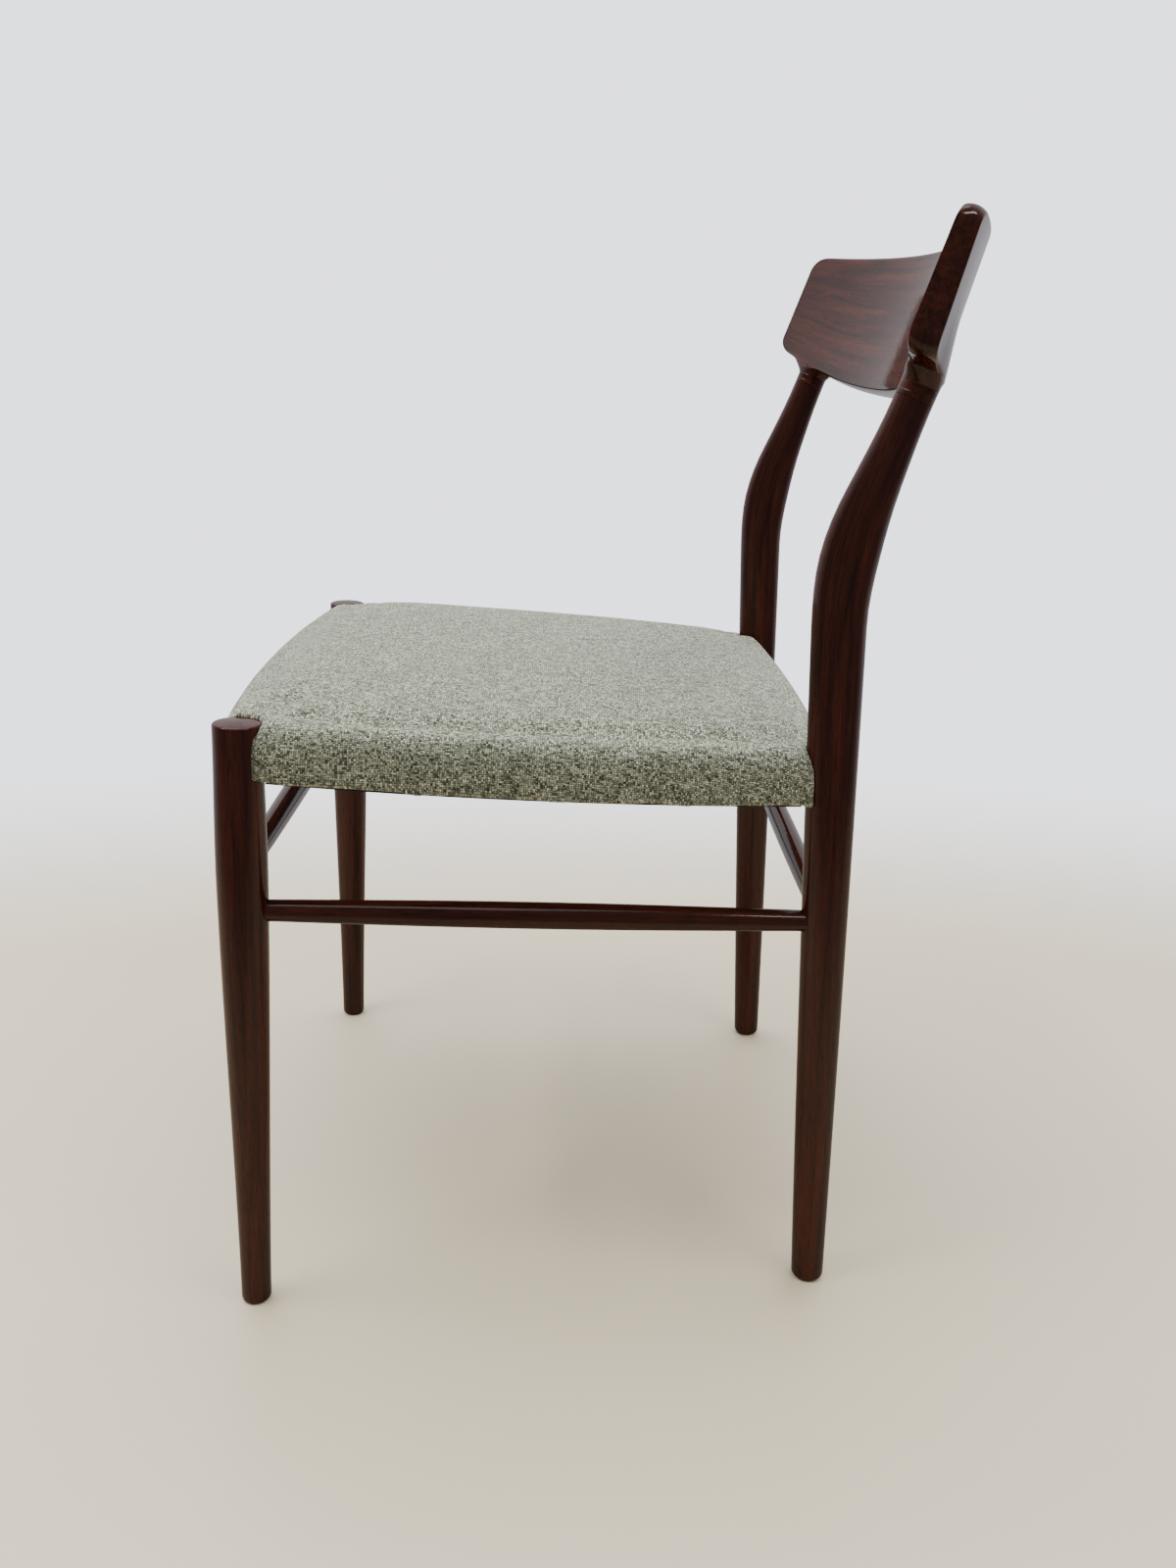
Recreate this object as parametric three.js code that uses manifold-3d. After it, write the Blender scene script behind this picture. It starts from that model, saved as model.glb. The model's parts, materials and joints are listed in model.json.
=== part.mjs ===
// A dining chair: two turned front legs, two bent rear legs that carry a curved backrest,
// four round stretchers, and an upholstered seat built on doweled rails.
// Millimetres, +Z up. The sitter faces -Y, and the sitter's left is +X.

import * as THREE from 'three';
import { mergeVertices } from 'three/addons/utils/BufferGeometryUtils.js';
import Module from 'manifold-3d';

const wasm = await Module();
wasm.setup();

const { degToRad, lerp, smoothstep } = THREE.MathUtils;

// Clearances
const fitGap = 0.3; // between two pieces that touch
const weldTolerance = 1e-3; // vertices closer than this are one vertex

// Front legs: turned, thickest under the seat, splayed outwards and forwards
const frontLegHeight = 455;
const frontFootSpacing = 448; // between the feet's centres
const frontTopSpacing = 428; // between the tops' centres
const frontLegRake = 13; // how far the top stands behind the foot
const frontFootRadius = 11;
const frontBellyRadius = 17.6;
const frontBellyDrop = 105; // from the top down to the thickest place
const frontTopRadius = 16.4;
const topArris = 1.5; // the small round at the top's edge
const topDome = 0.5; // how much the top rises from its edge to its middle
const footRound = 4.5; // the round at every foot's edge

// Rear legs: oval, straight to the knee, then leaning back
const legDepth = 428; // from the front feet's centres to the rear feet's
const rearLegSpacing = 384;
const rearLegRake = 0.033; // how far the straight part leans forwards, per mm of height
const kneeRise = 111; // from the front legs' tops up to the knee
const kneeBlend = 45; // half the height over which the knee turns
const postSlope = 0.4; // how far the upper part turns from the lower, per mm of height
const earlySwell = 0.4; // how much sooner than evenly the leg fills out above its foot
const rearFootDepth = 24.6; // front to back
const rearSeatDepth = 37; // the same, just above the seat
const rearKneeDepth = 39.5;
const rearSeamDepth = 26.8;
const rearFootWidth = 23.5; // side to side
const rearKneeWidth = 29;
const rearSeamWidth = 25;
const seamRise = 100; // from the knee up to the seam, where the backrest's stubs stand on the posts

// Backrest: a board that curves away from the sitter, with a stub at each end
const boardOverhang = 49; // past the posts' centres
const boardFlare = 5; // how far the ends stand out at the bottom and in at the top
const boardSag = 52; // how far the middle lies behind the ends
const boardLean = 19.3; // degrees from upright
const boardProud = 2.4; // how far the board's front face lies in front of the posts'
const boardRise = 17; // from the seam up to the level that the board's heights count from
const boardTop = 102.8;
const boardCrown = 7.6; // how much higher the top edge is in the middle
const boardEndBottom = 13;
const boardBelly = 14.4; // how much lower the bottom edge is in the middle
const boardBottomThickness = 20.5;
const boardTopThickness = 14.5;
const boardEdgeRadius = 6;
const boardCornerRadius = 13;
const stubReach = 24; // how far a stub runs up into the board
const stubTipDepth = 15;
const backDowelRadius = 5;
const backDowelLength = 44;

// Stretchers: round, thicker in the middle, socketed into the legs
const sideStretcherFrontDrop = 96; // below the cover's lower edge, as the next three are
const sideStretcherRearDrop = 109.5;
const frontStretcherDrop = 68;
const rearStretcherDrop = 115;
const rearStretcherSetback = 3; // behind the rear legs' centres
const stretcherEndRadius = 7.5;
const stretcherMiddleRadius = 9.6;
const socketDepth = 9;

// Seat: everything from here on is measured in the seat's own tilted frame
const legStand = 39; // how far the front legs' tops stand above the cover's lower edge
const seatTilt = 2.9; // degrees, down towards the back
const seatFrontOverhang = 12.5; // past the front legs' centres
const seatRearOverhang = 10; // past the rear legs' centres
const seatSideBow = 14;
const seatFrontLap = 15; // in front of the front legs' centres
const seatFrontBow = 10;
const seatRearBow = 4;
const padRise = 7.2; // from the rails' tops up to the pad's edge
const seatCrown = 12;
const seatRoundover = 17;
const roundFullness = 0.7; // how far the rounded edge pulls in, as a share of a true quarter-round
const coverThickness = 2;
const hemThickness = 1.5; // the cover where it is turned under the rails
const hemWidth = 18;
const battingThickness = 4.6; // soft layer between the cover and the rails' outer faces
const foamSlack = 1.6; // between the foam's edge and the cover

const railHeight = 32;
const railThickness = 21;
const railDowelRadius = 2.5;
const dowelInRail = 18; // how much of a dowel lies in the rail
const dowelInLeg = 15; // and in the leg
const dowelBias = 0.35; // how far a dowel's axis lies from the rail's middle to the leg's axis
const sideShoulder = 14.4; // from a leg's axis to the point from which a side rail's dowels are measured
const crossShoulder = 12.4; // the same for a cross rail's dowels
const mitreShift = 4; // how far the mitre lies on the side rail's side of the leg's axis

const webbingWidth = 46;
const webbingThickness = 1.8;
const webbingMargin = 15; // between the outer straps and the side rails
const webbingCount = 5;
const webbingOverlap = 16; // how much of a strap lies on each rail

const blockLeg = 46; // a corner block's two short sides
const blockHeight = 24;
const blockLift = 5;
const screwShankRadius = 1.75;
const screwHeadRadius = 3.6;
const screwHeadHeight = 2.2;
const screwGrip = 9; // how much of the block a screw clamps
const screwBite = 14; // how far a screw goes into its rail
const screwOffset = 29; // from the corner, along the rail

const dustCoverThickness = 1;
const dustCoverInset = 7;

// How finely curved shapes are divided
const legSides = 20;
const postSides = 18;
const stretcherSides = 14;
const rodSides = 8;
const turningStep = 50; // between the rings along a turned leg
const seamSpare = 12; // how far posts and stubs are made past the seam, which cuts them
const boardColumns = 18;
const boardRows = 4;
const padSteps = 10;
const cutterSize = 2000; // the side of the boxes that cut pieces short, larger than the chair

// Finishes
const stainedWood = { color: '#3b2019', roughness: 0.3, metalness: 0 };
const beech = { color: '#c8a67a', roughness: 0.6, metalness: 0 };
const tweed = { color: '#8c8f7e', roughness: 0.95, metalness: 0 };
const foam = { color: '#d9c88f', roughness: 0.95, metalness: 0 };
const webbing = { color: '#5a4c3a', roughness: 0.9, metalness: 0 };
const blackCloth = { color: '#232220', roughness: 0.95, metalness: 0 };
const zincSteel = { color: '#b9b7ae', roughness: 0.4, metalness: 1 };

// Heights above the floor that follow from the front legs' height
const frontBellyHeight = frontLegHeight - frontBellyDrop;
const kneeHeight = frontLegHeight + kneeRise;
const seamHeight = kneeHeight + seamRise;
const boardBase = seamHeight + boardRise;
const seatUnderside = frontLegHeight - legStand;
const sideStretcherFrontHeight = seatUnderside - sideStretcherFrontDrop;
const sideStretcherRearHeight = seatUnderside - sideStretcherRearDrop;
const frontStretcherHeight = seatUnderside - frontStretcherDrop;
const rearStretcherHeight = seatUnderside - rearStretcherDrop;

// The seat's outline follows the legs
const seatFrontHalfWidth = frontTopSpacing / 2 + seatFrontOverhang;
const seatRearHalfWidth = rearLegSpacing / 2 + seatRearOverhang;
const seatFrontEdge = frontLegRake - seatFrontLap;
const seatRearEdge = rearLegCentre(seatUnderside);

// The board's ends stand on the posts
const boardHalfLength = rearLegSpacing / 2 + boardOverhang;
const boardSetAtPost = boardSag * (1 - (rearLegSpacing / 2 / boardHalfLength) ** 2);
const boardFront = rearLegCentre(boardBase) - boardSetAtPost * Math.cos(degToRad(boardLean))
  - rearSeamDepth / 2 - boardProud;

// Levels inside the seat, from the cover's lower edge
const railBottom = hemThickness + fitGap;
const railTop = railBottom + railHeight;
const webbingBottom = railTop + fitGap;
const foamBottom = webbingBottom + webbingThickness + fitGap;
const seatEdgeHeight = railTop + padRise;

const chair = new THREE.Group();
const seat = new THREE.Group();
seat.position.z = seatUnderside;
seat.rotation.x = -degToRad(seatTilt);
chair.add(seat);

const sides = [{ name: 'left', sign: 1 }, { name: 'right', sign: -1 }];

// ---- Making and cutting solids

function makeMesh(geometry, parent) {
  const mesh = new THREE.Mesh(geometry);
  parent.add(mesh);
  return mesh;
}

function addPiece(name, mesh, finish) {
  mesh.name = name;
  mesh.material = new THREE.MeshStandardMaterial(finish);
  return mesh;
}

// A tool shapes other pieces and is not a piece itself, so it leaves the scene once it is a solid.
function toolSolid(geometry, parent, place = () => {}) {
  const mesh = makeMesh(geometry, parent);
  place(mesh);
  const solid = solidOf(mesh);
  parent.remove(mesh);
  return solid;
}

function solidOf(mesh) {
  mesh.updateWorldMatrix(true, false);
  const bare = mesh.geometry.clone().applyMatrix4(mesh.matrixWorld);
  bare.deleteAttribute('normal');
  bare.deleteAttribute('uv');
  const merged = mergeVertices(bare, weldTolerance);
  return new wasm.Manifold(new wasm.Mesh({
    numProp: 3,
    vertProperties: new Float32Array(merged.attributes.position.array),
    triVerts: new Uint32Array(merged.index.array),
  }));
}

function takeShape(mesh, solid) {
  const { vertProperties, triVerts } = solid.getMesh();
  const geometry = new THREE.BufferGeometry();
  geometry.setAttribute('position', new THREE.BufferAttribute(vertProperties, 3));
  geometry.setIndex(new THREE.BufferAttribute(triVerts, 1));
  geometry.applyMatrix4(mesh.matrixWorld.clone().invert());
  geometry.computeVertexNormals();
  mesh.geometry = geometry;
}

function cutterGeometry() {
  return new THREE.BoxGeometry(cutterSize, cutterSize, cutterSize);
}

function cut(mesh, ...tools) {
  takeShape(mesh, tools.reduce((solid, tool) => solid.subtract(tool), solidOf(mesh)));
}

// Moves each vertex of a geometry by a rule.
function reshape(geometry, rule) {
  const position = geometry.attributes.position;
  const point = new THREE.Vector3();
  for (let i = 0; i < position.count; i += 1) {
    point.fromBufferAttribute(position, i);
    const moved = rule(point);
    position.setXYZ(i, moved.x, moved.y, moved.z);
  }
  return geometry;
}

// How far a quarter-round of this radius falls away at a distance from the edge.
function roundoff(distance, radius) {
  const rest = Math.max(radius - distance, 0);
  return radius - Math.sqrt(radius * radius - rest * rest);
}

// Lays a mesh whose axis is Y from one point towards another.
function aim(mesh, from, to) {
  const direction = to.clone().sub(from).normalize();
  mesh.position.copy(from);
  mesh.quaternion.setFromUnitVectors(new THREE.Vector3(0, 1, 0), direction);
  return mesh;
}

function towards(from, to, distance) {
  return from.clone().add(to.clone().sub(from).setLength(distance));
}

// ---- Front legs

function frontLegAxis(sign, height) {
  const share = height / frontLegHeight;
  const x = lerp(frontFootSpacing, frontTopSpacing, share) / 2;
  return new THREE.Vector3(sign * x, frontLegRake * share, height);
}

function frontLegRadius(height) {
  if (height < frontBellyHeight) {
    const share = height / frontBellyHeight;
    const swell = (share + smoothstep(share, 0, 1)) / 2;
    return lerp(frontFootRadius, frontBellyRadius, swell);
  }
  return lerp(frontBellyRadius, frontTopRadius, smoothstep(height, frontBellyHeight, frontLegHeight));
}

function frontLegGeometry(grow) {
  const trim = 1; // the leg starts just below the floor, and the floor cuts it level
  const heights = [-trim, 0, footRound / 2, footRound];
  for (let height = turningStep; height < frontLegHeight - turningStep / 2; height += turningStep) {
    heights.push(height);
  }
  heights.push(frontLegHeight - topArris);
  const profile = heights.map((height) => {
    const radius = frontLegRadius(Math.max(height, 0)) - roundoff(height + trim, footRound);
    return new THREE.Vector2(radius + grow, height);
  });
  profile.push(new THREE.Vector2(frontTopRadius - topArris + grow, frontLegHeight - topDome));
  profile.push(new THREE.Vector2(0, frontLegHeight + grow));
  profile.unshift(new THREE.Vector2(0, -trim - grow));
  return new THREE.LatheGeometry(profile, legSides);
}

function placeFrontLeg(sign) {
  return (mesh) => aim(mesh, frontLegAxis(sign, 0), frontLegAxis(sign, frontLegHeight));
}

// ---- Rear legs

function rearLegCentre(height) {
  const past = height - kneeHeight;
  const blended = (past + kneeBlend) ** 2 / (4 * kneeBlend);
  let turn = 0;
  if (past > kneeBlend) turn = past;
  else if (past > -kneeBlend) turn = blended;
  return legDepth - rearLegRake * height + postSlope * turn;
}

function rearLegSize(height) {
  const kneeStart = kneeHeight - kneeBlend;
  if (height < kneeStart) {
    const share = height / kneeStart;
    const swell = share * (1 + earlySwell * (1 - share));
    return {
      depth: lerp(rearFootDepth, rearSeatDepth, swell),
      width: lerp(rearFootWidth, rearKneeWidth, swell),
    };
  }
  if (height < kneeHeight) {
    const share = smoothstep(height, kneeStart, kneeHeight);
    return { depth: lerp(rearSeatDepth, rearKneeDepth, share), width: rearKneeWidth };
  }
  const share = smoothstep(height, kneeHeight, seamHeight);
  return {
    depth: lerp(rearKneeDepth, rearSeamDepth, share),
    width: lerp(rearKneeWidth, rearSeamWidth, share),
  };
}

// An upright oval rod through sections given at a list of heights.
function ovalRod(heights, sectionAt, grow) {
  const rings = heights.length - 1;
  return reshape(new THREE.CylinderGeometry(1, 1, 1, postSides, rings), (point) => {
    const ring = Math.round((point.y + 0.5) * rings);
    const section = sectionAt(heights[ring]);
    return {
      x: point.x * (section.width / 2 + grow),
      y: section.centre - point.z * (section.depth / 2 + grow),
      z: heights[ring],
    };
  });
}

function rearLegSection(height) {
  const { depth, width } = rearLegSize(height);
  const round = 2 * roundoff(height, footRound);
  return { centre: rearLegCentre(height), depth: depth - round, width: width - round };
}

function rearLegGeometry(grow) {
  const heights = [0, footRound / 3, footRound];
  const kneeStart = kneeHeight - kneeBlend;
  const straightSteps = 5;
  const bentSteps = 8;
  for (let step = 1; step <= straightSteps; step += 1) {
    heights.push(lerp(footRound, kneeStart, step / straightSteps));
  }
  for (let step = 1; step <= bentSteps; step += 1) {
    heights.push(lerp(kneeStart, seamHeight + seamSpare, step / bentSteps));
  }
  return ovalRod(heights, rearLegSection, grow);
}

function rearLegAxis(sign, height) {
  return new THREE.Vector3(sign * rearLegSpacing / 2, rearLegCentre(height), height);
}

function placeRearLeg(sign) {
  return (mesh) => { mesh.position.x = sign * rearLegSpacing / 2; };
}

// The seam between a post and its stub is square to the post.
const postLean = Math.atan(postSlope - rearLegRake);
const seamPoint = new THREE.Vector3(0, rearLegCentre(seamHeight), seamHeight);
const postDirection = new THREE.Vector3(0, Math.sin(postLean), Math.cos(postLean));

function halfSpaceSolid(direction) {
  return toolSolid(cutterGeometry(), chair, (mesh) => {
    const away = direction * (cutterSize - fitGap) / 2;
    mesh.rotation.x = -postLean;
    mesh.position.copy(seamPoint).addScaledVector(postDirection, away);
  });
}

// ---- Backrest

const boardFrame = new THREE.Group();
boardFrame.position.set(0, boardFront, boardBase);
boardFrame.rotation.x = -degToRad(boardLean);
chair.add(boardFrame);

function boardEdges(x) {
  const middle = 1 - (x / boardHalfLength) ** 2;
  const corner = roundoff(boardHalfLength - Math.abs(x), boardCornerRadius);
  return {
    bottom: boardEndBottom - boardBelly * Math.sin(middle * Math.PI / 2) ** 2 + corner,
    top: boardTop + boardCrown * middle - corner,
    set: boardSag * middle,
  };
}

// Grid lines: close together over a rounded border, even in between.
function gridLines(low, high, border, count) {
  const lines = [low, low + border / 4];
  for (let step = 0; step <= count; step += 1) {
    lines.push(lerp(low + border, high - border, step / count));
  }
  return [...lines, high - border / 4, high];
}

function boardGeometry() {
  const columns = gridLines(-boardHalfLength, boardHalfLength, boardCornerRadius, boardColumns);
  const rowShares = gridLines(0, 1, boardEdgeRadius / boardTop, boardRows);
  const columnSteps = columns.length - 1;
  const rowSteps = rowShares.length - 1;
  const box = new THREE.BoxGeometry(1, 1, 1, columnSteps, 1, rowSteps);
  return reshape(box, (point) => {
    const x = columns[Math.round((point.x + 0.5) * columnSteps)];
    const share = rowShares[Math.round((point.z + 0.5) * rowSteps)];
    const { bottom, top, set } = boardEdges(x);
    const height = lerp(bottom, top, share);
    const edgeDistance = Math.min(height - bottom, top - height, boardHalfLength - Math.abs(x));
    const inset = roundoff(edgeDistance, boardEdgeRadius);
    const thickness = lerp(boardBottomThickness, boardTopThickness, height / boardTop);
    const flare = boardFlare * (1 - 2 * height / boardTop) * x / boardHalfLength;
    return {
      x: x + flare,
      y: set + (point.y < 0 ? inset : thickness - inset),
      z: height,
    };
  });
}

// A stub carries the post's section on from below the seam into the board.
function stubGeometry() {
  const tip = seamHeight + stubReach + boardEndBottom;
  const start = seamHeight - seamSpare;
  const end = seamHeight + seamSpare;
  const heights = [start, seamHeight, end, (end + tip) / 2, tip];
  return ovalRod(heights, (height) => {
    const share = smoothstep(height, seamHeight, tip);
    return {
      centre: rearLegCentre(height),
      depth: lerp(rearSeamDepth, stubTipDepth, share),
      width: rearSeamWidth,
    };
  }, 0);
}

function addBackrest() {
  const backrest = addPiece('backrest', makeMesh(boardGeometry(), boardFrame), stainedWood);
  const belowSeam = halfSpaceSolid(-1);
  const shape = sides.reduce((solid, { sign }) => {
    const stub = toolSolid(stubGeometry(), chair, placeRearLeg(sign)).subtract(belowSeam);
    return solid.add(stub);
  }, solidOf(backrest));
  takeShape(backrest, shape);
  return backrest;
}

// ---- Round pieces

function rodGeometry(radius, length, grow) {
  const rod = new THREE.CylinderGeometry(radius + grow, radius + grow, length + 2 * grow, rodSides);
  return rod.translate(0, length / 2, 0);
}

function addRod(name, from, to, radius, parent, finish, drilled) {
  const length = from.distanceTo(to);
  const place = (mesh) => aim(mesh, from, to);
  const drill = toolSolid(rodGeometry(radius, length, fitGap), parent, place);
  drilled.forEach((piece) => cut(piece, drill));
  return addPiece(name, place(makeMesh(rodGeometry(radius, length, 0), parent)), finish);
}

function stretcherGeometry(length, grow) {
  const steps = 8;
  const profile = [new THREE.Vector2(0, -grow)];
  for (let step = 0; step <= steps; step += 1) {
    const share = step / steps;
    const radius = lerp(stretcherEndRadius, stretcherMiddleRadius, Math.sin(share * Math.PI));
    profile.push(new THREE.Vector2(radius + grow, lerp(-grow, length + grow, share)));
  }
  profile.push(new THREE.Vector2(0, length + grow));
  return new THREE.LatheGeometry(profile, stretcherSides);
}

// fromReach and toReach are the legs' half thicknesses where the stretcher meets them.
function addStretcher(name, fromAxis, toAxis, fromReach, toReach, legs) {
  const from = towards(fromAxis, toAxis, fromReach - socketDepth);
  const to = towards(toAxis, fromAxis, toReach - socketDepth);
  const length = from.distanceTo(to);
  const place = (mesh) => aim(mesh, from, to);
  const socket = toolSolid(stretcherGeometry(length, fitGap), chair, place);
  legs.forEach((leg) => cut(leg, socket));
  addPiece(name, place(makeMesh(stretcherGeometry(length, 0), chair)), stainedWood);
}

// ---- Seat plan: the cover's outline, which the parts inside it follow

function seatShare(y) {
  return (y - seatFrontEdge) / (seatRearEdge - seatFrontEdge);
}

function sideBow(y) {
  const share = seatShare(y);
  return 4 * share * (1 - share) * seatSideBow;
}

function sideEdge(y) {
  return lerp(seatFrontHalfWidth, seatRearHalfWidth, seatShare(y)) + sideBow(y);
}

function frontEdge(x) {
  return seatFrontEdge - seatFrontBow * (1 - (x / seatFrontHalfWidth) ** 2);
}

function rearEdge(x) {
  return seatRearEdge + seatRearBow * (1 - (x / seatRearHalfWidth) ** 2);
}

// A pad that fills the plan from one level up to the crowned top.
function padGeometry(inset, bottom, topDrop) {
  const levels = [0, 0.55, 0.8, 0.93, 1];
  const levelSteps = levels.length - 1;
  const box = new THREE.BoxGeometry(2, 2, 1, padSteps, padSteps, levelSteps);
  const edgeTop = seatEdgeHeight - topDrop;
  const roundStart = edgeTop - seatRoundover;
  return reshape(box, (point) => {
    const share = levels[Math.round((point.z + 0.5) * levelSteps)];
    const level = lerp(bottom, edgeTop, share);
    const round = level > roundStart ? roundoff(edgeTop - level, seatRoundover) : 0;
    const pull = inset + round * roundFullness;
    const along = (point.y + 1) / 2;
    const roughX = point.x * sideEdge(lerp(seatFrontEdge, seatRearEdge, along));
    const y = lerp(frontEdge(roughX) + pull, rearEdge(roughX) - pull, along);
    const x = point.x * (sideEdge(y) - pull);
    const crown = share === 1 ? seatCrown * (1 - point.x ** 4) * (1 - point.y ** 4) : 0;
    return { x, y, z: level + crown };
  });
}

function planShape(inset) {
  const steps = 8;
  const front = seatFrontEdge + inset;
  const rear = seatRearEdge - inset;
  const frontX = sideEdge(front) - inset;
  const rearX = sideEdge(rear) - inset;
  const edges = [
    { from: -frontX, to: frontX, place: (x) => [x, frontEdge(x) + inset] },
    { from: front, to: rear, place: (y) => [sideEdge(y) - inset, y] },
    { from: rearX, to: -rearX, place: (x) => [x, rearEdge(x) - inset] },
    { from: rear, to: front, place: (y) => [inset - sideEdge(y), y] },
  ];
  const outline = edges.flatMap(({ from, to, place }) => {
    const shares = Array.from({ length: steps }, (unused, step) => step / steps);
    return shares.map((share) => new THREE.Vector2(...place(lerp(from, to, share))));
  });
  return new THREE.Shape(outline);
}

// ---- Seat rails

const railInset = coverThickness + battingThickness;

// Leg centres at the seat, in the seat's frame.
function legInSeat(axisPoint) {
  seat.updateWorldMatrix(true, false);
  return seat.worldToLocal(axisPoint.clone());
}
const frontJoint = legInSeat(frontLegAxis(1, seatUnderside + railHeight / 2));
const rearJoint = legInSeat(rearLegAxis(1, seatUnderside + railHeight / 2));

function sideRailGeometry(sign, grow) {
  const shape = new THREE.Shape();
  const outer = (y) => sideEdge(y) - railInset + grow;
  const inner = (y) => outer(y) - sideBow(y) - railThickness - 2 * grow;
  const steps = 8;
  shape.moveTo(sign * inner(frontJoint.y), frontJoint.y);
  for (let step = 0; step <= steps; step += 1) {
    const y = lerp(frontJoint.y, rearJoint.y, step / steps);
    shape.lineTo(sign * outer(y), y);
  }
  shape.lineTo(sign * inner(rearJoint.y), rearJoint.y);
  return railSolidGeometry(shape, grow);
}

function crossRailGeometry(outerEdge, inward, reach, grow) {
  const shape = new THREE.Shape();
  const steps = 10;
  const innerY = outerEdge(reach) + inward * (railInset + railThickness);
  shape.moveTo(-reach, innerY);
  for (let step = 0; step <= steps; step += 1) {
    const x = lerp(-reach, reach, step / steps);
    shape.lineTo(x, outerEdge(x) + inward * (railInset - grow));
  }
  shape.lineTo(reach, innerY);
  return railSolidGeometry(shape, grow);
}

function railSolidGeometry(shape, grow) {
  const settings = { depth: railHeight + 2 * grow, bevelEnabled: false };
  return new THREE.ExtrudeGeometry(shape, settings).translate(0, 0, railBottom - grow);
}

// ---- Corner blocks and their screws

function blockGeometry(sign, corner, inward) {
  const shape = new THREE.Shape();
  const tuck = railThickness / 3; // the block's corner starts inside the rails, which cut it to fit
  const x = sign * (corner.x + tuck);
  const y = corner.y - inward * tuck;
  const reach = blockLeg + 2 * tuck;
  shape.moveTo(x, y);
  shape.lineTo(x - sign * reach, y);
  shape.lineTo(x, y + inward * reach);
  const settings = { depth: blockHeight, bevelEnabled: false };
  return new THREE.ExtrudeGeometry(shape, settings).translate(0, 0, railBottom + blockLift);
}

function screwGeometry(grow) {
  const length = screwGrip + screwBite;
  const tip = 3;
  return new THREE.LatheGeometry([
    new THREE.Vector2(0, -grow),
    new THREE.Vector2(screwHeadRadius + grow, -grow),
    new THREE.Vector2(screwShankRadius + grow, screwHeadHeight),
    new THREE.Vector2(screwShankRadius + grow, length - tip),
    new THREE.Vector2(0, length + grow),
  ], 8);
}

// The screw's head lies screwGrip from the rail's face, at the bottom of a counterbore.
function addScrew(name, head, direction, block, rail) {
  const place = (mesh) => aim(mesh, head, head.clone().add(direction));
  const bore = toolSolid(screwGeometry(fitGap), seat, place);
  const counterboreRadius = screwHeadRadius + 2 * fitGap;
  const counterbore = toolSolid(
    new THREE.CylinderGeometry(counterboreRadius, counterboreRadius, blockLeg, 8)
      .translate(0, -blockLeg / 2, 0), seat, place);
  cut(block, bore, counterbore);
  cut(rail, bore);
  addPiece(name, place(makeMesh(screwGeometry(0), seat)), zincSteel);
}

// ---- Assembly

const floor = toolSolid(cutterGeometry(), chair, (mesh) => {
  mesh.position.z = -cutterSize / 2;
});
const aboveSeam = halfSpaceSolid(1);

const frontLegs = sides.map(({ name, sign }) => {
  const leg = addPiece(`front_leg_${name}`, makeMesh(frontLegGeometry(0), chair), stainedWood);
  placeFrontLeg(sign)(leg);
  cut(leg, floor);
  return leg;
});

const rearLegs = sides.map(({ name, sign }) => {
  const leg = addPiece(`rear_leg_${name}`, makeMesh(rearLegGeometry(0), chair), stainedWood);
  placeRearLeg(sign)(leg);
  cut(leg, aboveSeam);
  return leg;
});

const legTools = sides.flatMap(({ sign }) => [
  toolSolid(frontLegGeometry(fitGap), chair, placeFrontLeg(sign)),
  toolSolid(rearLegGeometry(fitGap), chair, placeRearLeg(sign)),
]);

const backrest = addBackrest();
sides.forEach(({ name, sign }, i) => {
  const centre = seamPoint.clone().setX(sign * rearLegSpacing / 2);
  const from = centre.clone().addScaledVector(postDirection, -backDowelLength / 2);
  const to = centre.clone().addScaledVector(postDirection, backDowelLength / 2);
  addRod(`backrest_dowel_${name}`, from, to, backDowelRadius, chair, beech, [rearLegs[i], backrest]);
});

sides.forEach(({ name, sign }, i) => {
  addStretcher(
    `side_stretcher_${name}`,
    frontLegAxis(sign, sideStretcherFrontHeight),
    rearLegAxis(sign, sideStretcherRearHeight),
    frontLegRadius(sideStretcherFrontHeight),
    rearLegSize(sideStretcherRearHeight).depth / 2,
    [frontLegs[i], rearLegs[i]],
  );
});
addStretcher(
  'front_stretcher',
  frontLegAxis(1, frontStretcherHeight),
  frontLegAxis(-1, frontStretcherHeight),
  frontLegRadius(frontStretcherHeight),
  frontLegRadius(frontStretcherHeight),
  frontLegs,
);
const rearStretcherAxes = sides.map(({ sign }) => (
  rearLegAxis(sign, rearStretcherHeight).add(new THREE.Vector3(0, rearStretcherSetback, 0))
));
const rearStretcherReach = rearLegSize(rearStretcherHeight).width / 2;
addStretcher('rear_stretcher', ...rearStretcherAxes, rearStretcherReach, rearStretcherReach, rearLegs);

// Side and cross rails meet on a mitre beside each leg's axis.
function mitreSolid(sign, { joint, inward }, grow) {
  return toolSolid(cutterGeometry(), seat, (mesh) => {
    const away = new THREE.Vector3(-sign, -inward, 0).setLength(cutterSize / 2 + grow - mitreShift);
    mesh.position.copy(joint).setX(sign * joint.x).add(away);
    mesh.rotation.z = Math.PI / 4;
  });
}

const crossRails = [
  { name: 'front', edge: frontEdge, inward: 1, joint: frontJoint, legs: frontLegs },
  { name: 'rear', edge: rearEdge, inward: -1, joint: rearJoint, legs: rearLegs },
];
const sideRails = sides.map(({ name, sign }) => {
  const rail = addPiece(`side_rail_${name}`, makeMesh(sideRailGeometry(sign, 0), seat), beech);
  cut(rail, ...legTools, ...crossRails.map((row) => mitreSolid(sign, row, 0)));
  return rail;
});
const sideRailTools = sides.map(({ sign }) => crossRails.reduce(
  (solid, row) => solid.subtract(mitreSolid(sign, row, fitGap)),
  toolSolid(sideRailGeometry(sign, fitGap), seat),
));

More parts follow.
